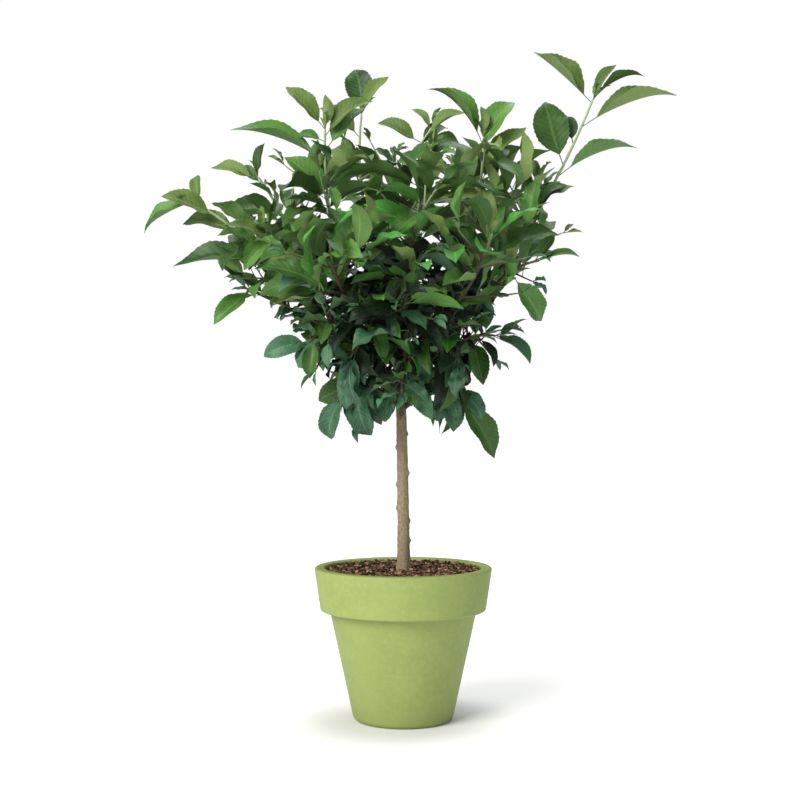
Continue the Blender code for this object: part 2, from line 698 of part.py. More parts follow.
def make_soil(parent: bpy.types.Object) -> None:
    """Build the mulch: it fills the pot 0.3 mm clear, lumpy on top but flat under the trunk."""
    rule = random.Random(FIRST_SEED)
    inside = [(radius - GAP, height + GAP) for radius, height in inner_wall()[:3]]
    wall = inside[0][0]
    outline = [(0.0, POT_FLOOR + GAP)] + inside[::-1] + [(wall, SOIL_TOP - SOIL_EDGE_DROP)]
    for index in range(1, SOIL_RINGS + 1):
        outline.append((lerp(wall, SOIL_FLAT_RADIUS, index / SOIL_RINGS), SOIL_TOP))
    outline.append((0.0, SOIL_TOP))
    shape = turned_solid(outline)
    for vert in shape.verts:
        radius = math.hypot(vert.co.x, vert.co.y)
        if vert.co.z > SOIL_TOP - GAP and radius > SOIL_FLAT_RADIUS + GAP:
            vert.co.z += rule.uniform(*SOIL_LUMPS)
    add_object("mulch", mesh_from(shape, "mulch"), "mulch", parent)


def trunk_relief(point: Vector, angle: float) -> float:
    """Return how far the bark stands out: the root flare with its lobes, and the knots."""
    rise = (point.z - TRUNK_FOOT[2]) / FLARE_HEIGHT
    lobes = 1 + FLARE_LOBE_SHARE * math.cos(FLARE_LOBES * angle + FLARE_LOBE_TURN)
    swell = FLARE_RADIUS * math.exp(-rise) * lobes
    for index, height in enumerate(KNOT_HEIGHTS):
        away = (angle - index * GOLDEN_ANGLE + math.pi) % math.tau - math.pi
        spread = ((point.z - height) / KNOT_SPREAD) ** 2 + (away / KNOT_ARC) ** 2 / 2
        swell += KNOT_RISE * math.exp(-spread)
    return swell


def cut_clear(shape: bmesh.types.BMesh, name: str, cutter: bmesh.types.BMesh) -> bpy.types.Mesh:
    """Cut a bough's foot to its parent's skin, with a small clearance."""
    target = bpy.data.objects.new(name, mesh_from(shape, name, smooth=False))
    tool = bpy.data.objects.new("cutter", mesh_from(cutter, "cutter", smooth=False))
    for item in (target, tool):
        bpy.context.scene.collection.objects.link(item)
    boolean = target.modifiers.new("clearance", "BOOLEAN")
    boolean.operation = "DIFFERENCE"
    boolean.object = tool
    return applied_mesh(target, [tool], name)


def applied_mesh(target: bpy.types.Object, tools: list, name: str) -> bpy.types.Mesh:
    """Apply a piece's Boolean and remove the pieces that it used."""
    depsgraph = bpy.context.evaluated_depsgraph_get()
    mesh = bpy.data.meshes.new_from_object(target.evaluated_get(depsgraph))
    mesh.name = name
    for item in [target] + tools:
        bpy.data.objects.remove(item, do_unlink=True)
    return mesh


def make_limbs(limbs: dict, parent: bpy.types.Object) -> None:
    """Build the trunk and the boughs, each bough cut clear of what it grows from."""
    trunk = tube(limbs["trunk"], TRUNK_SIDES, relief=trunk_relief)
    add_object("trunk", mesh_from(trunk, "trunk"), "bark", parent)
    for name, limb in LIMBS.items():
        shape = tube(limbs[name], BOUGH_SIDES)
        if limb.share == 1.0:
            mesh = mesh_from(shape, name)
        elif limb.parent == "trunk":
            mesh = cut_clear(shape, name, tube(limbs["trunk"], TRUNK_SIDES, GAP, trunk_relief))
        else:
            mesh = cut_clear(shape, name, tube(limbs[limb.parent], BOUGH_SIDES, GAP))
        add_object(name, mesh, "bough_bark", parent)


def leaf_shape(leaf: Leaf) -> bmesh.types.BMesh:
    """Return a leaf of eight faces."""
    shape = bmesh.new()
    verts = [shape.verts.new(corner) for corner in leaf_corners(leaf)]
    for face in LEAF_FACES:
        shape.faces.new([verts[index] for index in face])
    return shape


def fuse(name: str, body: bmesh.types.BMesh, others: list) -> bpy.types.Mesh:
    """Fuse a mass's stem with its twigs and leaves by one union on a collection."""
    target = bpy.data.objects.new(name, mesh_from(body, name, smooth=False))
    bpy.context.scene.collection.objects.link(target)
    group = bpy.data.collections.new(name + "_pieces")
    bpy.context.scene.collection.children.link(group)
    for index, shape in enumerate(others):
        piece = bpy.data.objects.new(f"piece_{index}", mesh_from(shape, "piece", smooth=False))
        group.objects.link(piece)
    boolean = target.modifiers.new("fused", "BOOLEAN")
    boolean.operation = "UNION"
    boolean.operand_type = "COLLECTION"
    boolean.collection = group
    boolean.solver = "MANIFOLD"
    mesh = applied_mesh(target, list(group.objects), name)
    bpy.data.collections.remove(group)
    return mesh


def make_mass(name: str, crown: Crown, parent: bpy.types.Object) -> None:
    """Build one mass of foliage as a single closed solid."""
    shapes = [tube(twig, TWIG_SIDES) for twig in crown.twigs[name]]
    shapes += [leaf_shape(leaf) for leaf in crown.leaves[name]]
    mesh = fuse(name, tube(crown.stems[name], TWIG_SIDES), shapes)
    colours = [colour for colour, height in FOLIAGE_FROM.items() if MASSES[name].tip[2] >= height]
    add_object(name, mesh, colours[0], parent)


def main() -> None:
    """Build the whole plant in its pot."""
    clear_scene()
    root = bpy.data.objects.new("plant", None)
    bpy.context.scene.collection.objects.link(root)
    make_pot(root)
    make_soil(root)
    limbs = grow_limbs()
    make_limbs(limbs, root)
    crown = grow_crown(limbs)
    for name in MASSES:
        make_mass(name, crown, root)


main()
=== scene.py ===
"""A dwarf apple tree in a round lime green pot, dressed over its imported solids.

The growth rule of the solids is run again here, in millimetres, and carried on to finer twigs and
more leaves.  Meshes are in metres, in the frame of the solids.
"""
from __future__ import annotations

import json
import logging
import math
import random
from collections.abc import Callable
from dataclasses import dataclass, field
from enum import Enum

import bmesh
import bpy
import numpy as np
from mathutils import Matrix, Vector
from mathutils.bvhtree import BVHTree

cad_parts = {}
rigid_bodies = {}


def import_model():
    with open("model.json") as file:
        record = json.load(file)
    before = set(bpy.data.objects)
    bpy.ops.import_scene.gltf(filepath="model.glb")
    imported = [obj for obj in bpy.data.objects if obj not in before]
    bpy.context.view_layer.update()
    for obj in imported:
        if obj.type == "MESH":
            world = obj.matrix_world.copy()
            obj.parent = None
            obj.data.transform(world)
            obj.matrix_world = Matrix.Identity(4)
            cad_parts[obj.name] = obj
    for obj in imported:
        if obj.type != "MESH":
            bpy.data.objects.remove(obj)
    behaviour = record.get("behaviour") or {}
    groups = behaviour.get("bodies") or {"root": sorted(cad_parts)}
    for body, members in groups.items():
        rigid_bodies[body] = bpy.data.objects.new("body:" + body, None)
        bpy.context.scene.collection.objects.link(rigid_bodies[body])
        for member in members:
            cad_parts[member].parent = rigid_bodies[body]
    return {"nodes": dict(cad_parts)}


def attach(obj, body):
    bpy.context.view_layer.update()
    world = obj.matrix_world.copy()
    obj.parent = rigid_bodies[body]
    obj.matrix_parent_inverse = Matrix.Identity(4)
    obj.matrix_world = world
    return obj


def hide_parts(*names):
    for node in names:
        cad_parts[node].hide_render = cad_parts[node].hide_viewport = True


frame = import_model()
LOG = logging.getLogger("apple_tree")

Array = np.ndarray
Material = bpy.types.Material
Socket = bpy.types.NodeSocket
Span = tuple[float, float]
Triple = tuple[float, float, float]
Colour = tuple[int, int, int]
Stops = tuple[tuple[float, Colour], ...]

MM = 0.001
UP = Vector((0, 0, 1))
FRONT = Vector((0, -1, 0))
SIDEWAYS = Vector((1, 0, 0))
NEARLY_ZERO = 0.05
GOLDEN_ANGLE = math.radians(137.5)
GAP = 0.3
MERGE_DISTANCE = 1e-6
BAKE_MAP = "OFBake"

# Trunk and boughs
SOIL_TOP = 183.0
TRUNK_FOOT = (0.4, 0.0, SOIL_TOP + GAP)
TRUNK_BOW = (0.4, 0.0, 300.0)
TRUNK_TIP = (-4.0, 2.0, 428.0)
TRUNK_RINGS = 30
TRUNK_RADII = (7.8, 6.0)
BOUGH_RINGS = 5
SKIN_SIDES = 6

# Twigs: a stem from each bough's tip, with side twigs set round it
FIRST_SEED = 11
SEED_STEP = 100
TRIES = 9
STEM_RINGS = 5
TWIG_RINGS = 2
STEM_RADII = (2.0, 1.1)
TWIG_RADII = (1.5, 0.9)
FIRST_TWIG = 0.08
TWIG_SHRINK = 0.62
TWIG_LEAN = (0.55, 0.90)
TWIG_LIFT = 0.16
TWIG_TURN = 0.70
TWIG_MARGIN = 7.0
TWIG_CHECKS = 10
TWIG_FREE_FROM = 2

# Room that a leaf takes: a kite of eight faces, folded along its midrib
LEAF_THICKNESS = 1.7
LEAF_WIDEST = 0.54
LEAF_ARCH = 0.07
LEAF_FOLD = 0.42
LEAF_SUNK = 0.4
LEAF_REACH = 0.6
LEAF_FACES = ((0, 2, 4), (2, 1, 4), (1, 3, 4), (3, 0, 4),
              (2, 0, 5), (1, 2, 5), (3, 1, 5), (0, 3, 5))
RIB_SAMPLE = 0.55
EDGE_SAMPLE = 0.6

# Leafing rule: shares are along a twig, angles in degrees, paces tell how soon with age a leaf is
# full size and fully spread, and a leaf that finds no room turns on
TWIG_LEAVES = 6
LOWEST_LEAF = 0.14
LEAF_STEP_SPREAD = 0.4
GROWN_PACE = 2.6
SPREAD_PACE = 1.7
LEAF_PITCH = (34.0, 82.0)
LEAF_PITCH_SPREAD = 10.0
LEAF_SIZES = (0.62, 1.0)
LEAF_SIZE_SPREAD = (0.86, 1.14)
LEAF_WIDTHS = (0.36, 0.45)
LEAF_EASE = (1.16, 0.84)
LEAF_TURN = 0.62
LEAF_ROLL = 0.6
LEAF_TO_TIP = 0.55
LEAF_TO_SKY = 0.85
DROOP_SPREAD = (0.2, 1.5)
SPACE_OVERLAP = 14.0
LIMB_MARGIN = 1.2

# Leaves that draw the outline: how they lean, how wide they are, and the turns they try
OUTLINE_LEAN = 0.30
OUTLINE_ROLL = 0.30
OUTLINE_WIDTHS = (0.40, 0.56)
OUTLINE_WIDTH_SPREAD = (0.90, 1.10)
OUTLINE_TURNS = (0.0, 0.25, -0.25, 0.5, -0.5, 0.8, -0.8)
OUTLINE_STEM_TOP = 0.5

# Room for the leaves: a funnel that opens upward from the lowest leaves
FUNNEL_CENTRE = -12.0
FUNNEL_FOOT_HEIGHT = 345.0
FUNNEL_FOOT_RADIUS = 86.0
FUNNEL_SLOPE = 0.63
FUNNEL_RADIUS = 224.0
FUNNEL_DEPTH_SHARE = 1.14
CROWN_TOP = 752.0


class Tint(Enum):
    """The colours of leaves, dealt out by spray and by age; the near-black tint is painted shade.
    """

    YOUNG = "leaves_young"
    FRESH = "leaves_fresh"
    GROWN = "leaves_grown"
    SHADED = "leaves_shaded"
    # Near-black leaves put in the crown's core and hollow as painted shade
    DEEP = "leaves_deep"
    # Older leaves low down, whose blue-green is in part a painted reflection of the sky
    OLD = "leaves_old"


class Bound(Enum):
    """The space that a new leaf has to keep to."""

    MASS = "its own mass's space"
    CROWN = "the crown's funnel"
    FREE = "no space of its own"


class Purpose(Enum):
    """What a mass's own seeded rule is for."""

    TWIGS = 0
    OUTLINE = 1
    LEAVES = 2
    SPURS = 3


@dataclass(frozen=True)
class Limb:
    """A bough that leaves its parent and ends where it enters its mass of leaves."""

    parent: str
    share: float
    tip: Triple
    radius: float
    tip_radius: float
    sag: float


@dataclass(frozen=True)
class Mass:
    """A mass of foliage: its bough, the tip of its stem and how it is leafed."""

    bough: str
    tip: Triple
    leaves: int
    twigs: int
    twig_top: float
    twig_length: float
    leaf_length: float
    droop: float


@dataclass(frozen=True)
class LeafForm:
    """How the leaves of one tint are shaped: each pair is the least and the most."""

    fold: Span
    bend: Span
    curl: Span
    wave: Span
    widen: float


@dataclass(frozen=True)
class Skin:
    """How finely a kind of limb is meshed, how old it is from foot to tip and what swells it."""

    rings: int
    sides: int
    ages: Span
    collar: float
    knobs: float
    blunt: float = 0.45


# Parent, share along the parent, tip, radius at foot and tip, sag of the middle
LIMBS = {
    "bough_leader": Limb("trunk", 1.00, (-15, 12, 556), 4.9, 2.2, -4),
    "bough_left": Limb("trunk", 0.935, (-118, -6, 528), 5.0, 2.3, 3),
    "bough_right": Limb("trunk", 0.925, (112, 4, 548), 4.9, 2.3, 9),
    "bough_back": Limb("trunk", 0.900, (6, 112, 520), 4.5, 2.2, 10),
    "bough_front": Limb("trunk", 0.880, (4, -88, 478), 4.2, 2.2, 9),
    "bough_low_left": Limb("trunk", 0.845, (-38, -22, 416), 3.4, 2.0, 3),
    "bough_low_right": Limb("trunk", 0.830, (40, -12, 417), 3.4, 2.0, 3),
    "bough_left_upper": Limb("bough_left", 0.46, (-86, -4, 598), 3.3, 2.1, 8),
    "bough_left_high": Limb("bough_left", 0.80, (-134, 14, 590), 2.6, 1.9, 5),
    "bough_left_lower": Limb("bough_left", 0.56, (-132, 40, 506), 3.0, 2.0, 4),
    "bough_left_hanging": Limb("bough_left", 0.34, (-76, -50, 474), 3.0, 2.0, 4),
    "bough_right_upper": Limb("bough_right", 0.52, (84, -26, 596), 3.2, 2.1, 7),
    "bough_right_front": Limb("bough_right", 0.66, (116, -46, 540), 2.8, 2.0, 4),
    "bough_right_lower": Limb("bough_right", 0.34, (74, 26, 470), 3.0, 2.0, 4),
    "bough_leader_front": Limb("bough_leader", 0.50, (6, -48, 566), 3.0, 2.0, 6),
    "bough_leader_back": Limb("bough_leader", 0.66, (-44, 62, 622), 2.9, 2.0, 6),
    "bough_back_right": Limb("bough_back", 0.52, (86, 110, 536), 3.0, 2.0, 5),
    "bough_back_left": Limb("bough_back", 0.46, (-84, 100, 508), 3.0, 2.0, 5),
    "bough_back_low": Limb("bough_back", 0.34, (12, 84, 446), 2.9, 2.0, 4),
    "bough_front_left": Limb("bough_front", 0.50, (-58, -100, 504), 2.8, 2.0, 5),
    "bough_front_right": Limb("bough_front", 0.56, (62, -104, 508), 2.8, 2.0, 5),
    "bough_inner_left": Limb("bough_left", 0.16, (-34, -48, 462), 2.6, 1.9, 3),
    "bough_inner_right": Limb("bough_right", 0.18, (36, -44, 458), 2.6, 1.9, 3),
    "bough_inner_front": Limb("trunk", 0.790, (0, -46, 416), 3.0, 1.9, 2),
    "bough_inner_back": Limb("trunk", 0.800, (-6, 50, 420), 3.0, 1.9, 2),
}

# Bough, stem tip, leaves on the stem, side twigs, share of the last one and their length, leaf
# length, droop
MASSES = {
    "shoot_top_right": Mass("bough_right", (239, 14, 776), 11, 3, 0.34, 74, 89, 0.10),
    "shoot_upper_right": Mass("bough_right_upper", (98, -40, 716), 11, 4, 0.50, 72, 83, 0.08),
    "spray_right_front": Mass("bough_right_front", (163, -66, 563), 9, 4, 0.70, 66, 85, 0.28),
    "spray_right_low": Mass("bough_right_lower", (118, 42, 478), 9, 4, 0.70, 66, 83, 0.45),
    "shoot_upper_centre": Mass("bough_leader", (38, 52, 746), 11, 5, 0.66, 82, 81, 0.10),
    "shoot_back_top": Mass("bough_leader_back", (-54, 84, 770), 10, 4, 0.55, 78, 85, 0.10),
    "shoot_upper_left": Mass("bough_left_upper", (-96, -18, 730), 10, 4, 0.50, 74, 89, 0.08),
    "shoot_left_high": Mass("bough_left_high", (-182, 10, 676), 9, 3, 0.50, 58, 79, 0.12),
    "shoot_left": Mass("bough_left", (-258, -20, 640), 11, 3, 0.42, 70, 85, 0.16),
    "spray_left_low": Mass("bough_left_lower", (-196, 50, 538), 9, 4, 0.60, 70, 85, 0.30),
    "spray_left_hanging": Mass("bough_left_hanging", (-114, -88, 462), 9, 4, 0.72, 62, 79, 0.50),
    "spray_low_left": Mass("bough_low_left", (-70, -52, 404), 9, 3, 0.72, 52, 77, 0.65),
    "spray_low_right": Mass("bough_low_right", (68, -28, 398), 9, 3, 0.72, 52, 77, 0.65),
    "spray_front_upper": Mass("bough_leader_front", (38, -120, 640), 10, 5, 0.72, 76, 83, 0.16),
    "spray_front_left": Mass("bough_front_left", (-82, -176, 574), 10, 5, 0.72, 74, 85, 0.20),
    "spray_front_right": Mass("bough_front_right", (100, -160, 584), 10, 5, 0.72, 72, 83, 0.18),
    "spray_front": Mass("bough_front", (-8, -172, 502), 10, 5, 0.72, 72, 83, 0.34),
    "shoot_back_right": Mass("bough_back_right", (136, 170, 652), 11, 5, 0.72, 78, 87, 0.12),
    "spray_back_left": Mass("bough_back_left", (-152, 162, 580), 10, 5, 0.72, 78, 85, 0.22),
    "shoot_back": Mass("bough_back", (8, 206, 640), 11, 5, 0.72, 80, 87, 0.16),
    "spray_inner_left": Mass("bough_inner_left", (-62, -104, 446), 10, 4, 0.72, 58, 75, 0.35),
    "spray_inner_right": Mass("bough_inner_right", (66, -98, 440), 10, 4, 0.72, 58, 75, 0.35),
    "spray_inner_front": Mass("bough_inner_front", (-2, -104, 404), 9, 4, 0.72, 54, 73, 0.35),
    "spray_inner_back": Mass("bough_inner_back", (-8, 104, 402), 9, 4, 0.72, 56, 73, 0.35),
    "spray_back_low": Mass("bough_back_low", (18, 142, 456), 9, 5, 0.72, 68, 81, 0.50),
}

# Leaves that draw the outline: share along the stem, bearing across the front view, length, and
# how far the upper side turns to the front
OUTLINE_LEAVES = {
    "shoot_top_right": (
        (0.97, 131, 100, 0.3), (1.00, 59, 50, 0.5), (0.98, 29, 68, 0.3), (0.84, 22, 122, 0.3),
        (0.57, 25, 106, 0.3), (0.64, 104, 87, 1.0), (0.75, 100, 42, 0.9), (0.32, 58, 62, 0.6),
    ),
    "shoot_upper_right": (
        (0.90, 129, 97, 0.4), (0.85, 60, 75, 0.5), (0.70, 46, 74, 0.5), (0.74, 124, 40, 0.5),
        (1.00, 95, 34, 0.4), (0.52, 58, 66, 0.8),
    ),
    "spray_right_front": (
        (1.00, 8, 46, 0.3), (0.62, 337, 52, 0.4), (0.34, 308, 74, 0.8), (0.90, 55, 42, 0.5),
    ),
    "spray_right_low": (
        (0.85, 328, 62, 0.5), (0.50, 300, 44, 0.5), (1.00, 20, 34, 0.5), (0.30, 285, 60, 0.7),
    ),
    "shoot_upper_centre": (
        (0.98, 128, 38, 0.5), (0.93, 33, 56, 0.5), (0.84, 42, 52, 0.6), (0.88, 151, 64, 0.6),
    ),
    "shoot_back_top": ((0.97, 98, 68, 1.0), (1.00, 55, 56, 0.6), (0.80, 140, 66, 0.6)),
    "shoot_upper_left": (
        (0.99, 130, 70, 0.5), (0.70, 158, 119, 0.3), (0.93, 40, 74, 0.5), (0.80, 52, 76, 0.6),
        (1.00, 88, 40, 0.4), (0.88, 165, 36, 0.5), (0.34, 135, 70, 0.8), (0.22, 150, 60, 0.8),
    ),
    "shoot_left_high": (
        (0.96, 163, 66, 0.5), (1.00, 80, 42, 0.6), (0.55, 178, 66, 0.8), (0.85, 150, 52, 0.5),
    ),
    "shoot_left": (
        (1.00, 205, 75, 0.3), (0.80, 157, 72, 0.6), (0.96, 98, 42, 0.6), (0.99, 140, 26, 0.4),
        (0.60, 165, 80, 0.4), (0.30, 178, 128, 0.4),
    ),
    "spray_left_low": (
        (0.45, 176, 62, 0.4), (0.85, 204, 50, 0.4), (0.97, 224, 62, 0.8), (0.70, 150, 56, 0.5),
    ),
    "spray_left_hanging": ((0.95, 197, 54, 0.8), (0.60, 232, 52, 0.8), (0.85, 265, 46, 0.8)),
    "spray_low_left": (
        (0.15, 201, 66, 0.9), (1.00, 250, 60, 0.6), (0.60, 284, 68, 0.6), (0.35, 302, 58, 0.6),
    ),
    "spray_low_right": (
        (0.50, 278, 60, 0.8), (1.00, 303, 90, 0.7), (0.80, 314, 48, 0.6), (0.30, 262, 50, 0.8),
    ),
}

# Finer twigs: short spurs on stems, side twigs and boughs, in the crown's core and on tall shoots
SPURS_PER_STEM = 3
SPURS_PER_TWIG = 2
SPURS_PER_BOUGH = 5
BOUGH_SPUR_SHARES = (0.35, 0.98)
SPUR_LENGTHS = (10.0, 26.0)
SPUR_RADII = (1.1, 0.7)
SPUR_LEAVES = 4
SPUR_LEAF_SCALE = (0.50, 0.80)
CORE_FOOT = 400.0
CORE_TOP = 575.0
CORE_RADII = (100.0, 140.0)
SPUR_STEM_SHARES = (0.05, 0.9)
SPUR_TWIG_SHARES = (0.15, 0.85)
SHOOT_SPURS = {"shoot_top_right": 4, "shoot_upper_right": 3, "shoot_left": 3,
               "shoot_upper_left": 2, "shoot_upper_centre": 2, "shoot_left_high": 2,
               "shoot_back_right": 3, "spray_right_front": 2}
SHOOT_SPUR_SHARES = (0.06, 0.62)

# Where the front view shows sky, as seen from the eye: the crown's sides by height and its skyline
EYE_DISTANCE = 1730.0
EYE_HEIGHT = 396.0
SIDE_HEIGHTS = (345.0, 396.0, 458.0, 520.0, 583.0, 645.0, 752.0)
LEFT_EDGE = (-70.0, -78.0, -116.0, -182.0, -258.0, -280.0, -280.0)
RIGHT_EDGE = (78.0, 82.0, 94.0, 122.0, 176.0, 216.0, 228.0)
BARE_TRUNK_TOP = 388.0
BARE_TRUNK_SIDE = 20.0
SKYLINE_SIDES = (-280.0, -200.0, -140.0, -108.0, -60.0, -34.0, 20.0, 40.0, 66.0, 84.0, 104.0,
                 126.0, 150.0, 210.0)
SKYLINE = (640.0, 668.0, 676.0, 735.0, 745.0, 716.0, 712.0, 735.0, 728.0, 716.0, 730.0, 728.0,
           735.0, 735.0)

# Odds of each tint, in the order of the tints, by age, height and depth in the crown
YOUNG_AGE = 0.32
SHOOT_HEIGHT = 610.0
OLD_HEIGHT = 512.0
HIGH_BUDS = 575.0
# Painted shade: leaves in the crown's core take only the near-black tint
SHADE_CORE_RADIUS = 92.0
SHADE_CORE_HEIGHTS = (425.0, 585.0)
# Painted shade: before the crown's hollow, as the front view sees it, most leaves take dark tints
SHADED_HOLLOW_SIDES = (-72.0, 104.0)
SHADED_HOLLOW_HEIGHTS = (440.0, 560.0)
FRESH_CENTRE = 10.0
FRESH_REACH = 130.0
BROAD_SHOWN = 0.85
TIP_ODDS = (7, 1, 3, 1, 0, 0)
SHOOT_ODDS = (2, 1, 6, 5, 0, 0)
SPRAY_TIP_ODDS = (3, 4, 5, 2, 0, 0)
SPRAY_ODDS = (0, 3, 6, 6, 0, 1)
SHADE_CORE_ODDS = (0, 0, 0, 0, 1, 0)
SHADED_HOLLOW_ODDS = (0, 2, 3, 2, 9, 3)
OLD_ODDS = (0, 0, 0, 4, 0, 8)

# Shape of the blades: fold, bend and curl in radians, wave as a share of half the width, and how
# wide the blade is beside the leaf of the rule
LEAF_FORMS = {
    Tint.YOUNG: LeafForm((0.50, 0.95), (0.1, 0.6), (0.0, 0.6), (0.06, 0.20), 0.98),
    Tint.FRESH: LeafForm((0.25, 0.70), (0.2, 0.8), (0.0, 0.6), (0.05, 0.18), 0.96),
    Tint.GROWN: LeafForm((0.25, 0.85), (0.2, 0.9), (0.0, 0.7), (0.06, 0.22), 0.96),
    Tint.SHADED: LeafForm((0.25, 0.85), (0.2, 0.9), (0.0, 0.8), (0.08, 0.26), 0.96),
    Tint.DEEP: LeafForm((0.20, 0.85), (0.3, 1.0), (0.1, 1.0), (0.12, 0.36), 0.95),
    Tint.OLD: LeafForm((0.05, 0.60), (0.3, 1.1), (0.2, 1.3), (0.12, 0.34), 1.0),
}
WIDEST_LEAF = 50.0
TIP_FALL = 0.09

# Leaves that draw the outline: side-on ones fold more, long ones a little more, flat ones least
SIDE_FOLD = 0.4
BROAD = (0.78, 0.95)
LONG_FOLD = 0.15
LONG_LEAF = (72.0, 110.0)
FLATTENED = 0.35

# A leaf's cell of its map: the upper side in the left half and the underside in the right half
MAP_CELLS = 4
MAP_HALF = 0.5
MAP_MIDDLE = 0.25
MAP_REACH = 0.21
MAP_ENDS = (0.03, 0.97)

# Skins of boughs, stems, side twigs and spurs, and what swells them, in millimetres
BOUGH_SKIN = Skin(44, 18, (1.0, 0.6), 0.42, 0.20, 0.9)
STEM_SKIN = Skin(46, 10, (0.62, 0.0), 0.0, 0.34)
TWIG_SKIN = Skin(20, 8, (0.5, 0.05), 0.6, 0.34)
SPUR_SKIN = Skin(8, 7, (0.7, 0.25), 0.5, 0.0)
FINE_STEM_RADII = (2.5, 1.35)
FINE_TWIG_RADII = (1.35, 0.75)
COLLAR_FALL = 4.5
TIP_ROUNDING = 2.0
BUD_SPACING = (11.0, 17.0)
BUD_LENGTH = 1.9
BUD_ARC = 0.8

# A bark chip: corners and faces of a box
BOX_CORNERS = tuple((x, y, z) for z in (-1, 1) for y in (-1, 1) for x in (-1, 1))
BOX_FACES = ((0, 2, 3, 1), (4, 5, 7, 6), (0, 1, 5, 4), (2, 6, 7, 3), (0, 4, 6, 2), (1, 3, 7, 5))


def bezier(start: Vector, middle: Vector, end: Vector, share: float) -> Vector:
    """Return the point at a share of a quadratic curve."""
    rest = 1 - share
    return start * rest * rest + middle * (2 * rest * share) + end * share * share


def lerp(first: float, last: float, share: float) -> float:
    """Blend two numbers."""
    return first + (last - first) * share


def is_between(value: float, span: Span) -> bool:
    """Tell whether a number lies between two others."""
    return span[0] < value < span[1]


def across(direction: Vector) -> Vector:
    """Return a unit vector square to a direction, kept level where that is possible."""
    level = UP.cross(direction)
    if level.length < NEARLY_ZERO:
        level = SIDEWAYS - direction * direction.x
    return level.normalized()


def turned(direction: Vector, angle: float) -> Vector:
    """Return the unit vector square to a direction at an angle round it."""
    return Matrix.Rotation(angle, 3, direction) @ across(direction)


@dataclass(frozen=True)
class Axis:
    """The middle line of a limb or twig, its radii, and the curve that it was laid along."""

    points: list[Vector]
    radii: list[float]
    curve: tuple[Vector, Vector, Vector]

    @classmethod
    def laid(cls, start: Vector, middle: Vector, end: Vector, radii: Span,
             rings: int) -> Axis:
        """Lay a middle line along a curve, its radius tapering evenly from foot to tip.

        Args:
            start: The foot of the curve.
            middle: The point that pulls the curve.
            end: The tip of the curve.
            radii: The radius at the foot and at the tip.
            rings: How many steps the line has.

        Returns:
            The middle line.
        """
        shares = [index / rings for index in range(rings + 1)]
        points = [bezier(start, middle, end, share) for share in shares]
        return cls(points, [lerp(*radii, share) for share in shares], (start, middle, end))

    @property
    def foot_heading(self) -> Vector:
        """Return the direction in which the axis leaves its foot."""
        return (self.curve[1] - self.curve[0]).normalized()

    def at(self, share: float) -> tuple[Vector, Vector, float]:
        """Return what the axis is like at a share of its length.

        Args:
            share: The share, which is held between 0 and 1.

        Returns:
            Point, direction and radius there.
        """
        place = min(max(share, 0.0), 1.0) * (len(self.points) - 1)
        index = min(int(place), len(self.points) - 2)
        part = place - index
        point = self.points[index].lerp(self.points[index + 1], part)
        heading = (self.points[index + 1] - self.points[index]).normalized()
        return point, heading, lerp(self.radii[index], self.radii[index + 1], part)

    def distance(self, point: Vector) -> tuple[float, float]:
        """Return how far a point is from the axis.

        Args:
            point: The point.

        Returns:
            The distance, and the radius of the axis where it is nearest.
        """
        best = (math.inf, 0.0)
        for index in range(len(self.points) - 1):
            foot = self.points[index]
            span = self.points[index + 1] - foot
            share = min(max((point - foot).dot(span) / span.length_squared, 0.0), 1.0)
            gap = (foot + span * share - point).length
            if gap < best[0]:
                best = (gap, lerp(self.radii[index], self.radii[index + 1], share))
        return best

    def carried_on(self, tip: Triple, radii: Span,
                   rings: int) -> Axis:
        """Return an axis that carries on from this one's tip.

        Args:
            tip: Where the new axis ends.
            radii: Its radius at the foot and at the tip.
            rings: How many steps it has.

        Returns:
            The new axis.
        """
        foot, heading, _radius = self.at(1.0)
        start = foot + heading * GAP
        end = Vector(tip)
        return Axis.laid(start, start + heading * (end - start).length / 2, end, radii, rings)

    def skin(self, grown: float) -> BVHTree:
        """Return a coarse skin round the axis for tests of what touches it.

        Args:
            grown: How much wider than the limb the skin is.

        Returns:
            The skin's faces as a search tree.
        """
        corners: list[Vector] = []
        sideways = across(self.foot_heading)
        last = len(self.points) - 1
        for index, (point, radius) in enumerate(zip(self.points, self.radii)):
            heading = self.foot_heading
            if index:
                ahead = self.points[min(index + 1, last)]
                heading = (ahead - self.points[index - 1]).normalized()
            sideways = (sideways - heading * sideways.dot(heading)).normalized()
            for corner in range(SKIN_SIDES):
                spoke = Matrix.Rotation(math.tau * corner / SKIN_SIDES, 3, heading) @ sideways
                corners.append(point + spoke * (radius + grown))
        faces = [tuple(reversed(range(SKIN_SIDES)))]
        faces.append(tuple(range(last * SKIN_SIDES, (last + 1) * SKIN_SIDES)))
        for ring in range(last):
            for corner in range(SKIN_SIDES):
                low = ring * SKIN_SIDES + corner
                after = ring * SKIN_SIDES + (corner + 1) % SKIN_SIDES
                faces.append((low, after, after + SKIN_SIDES, low + SKIN_SIDES))
        return BVHTree.FromPolygons(corners, faces)


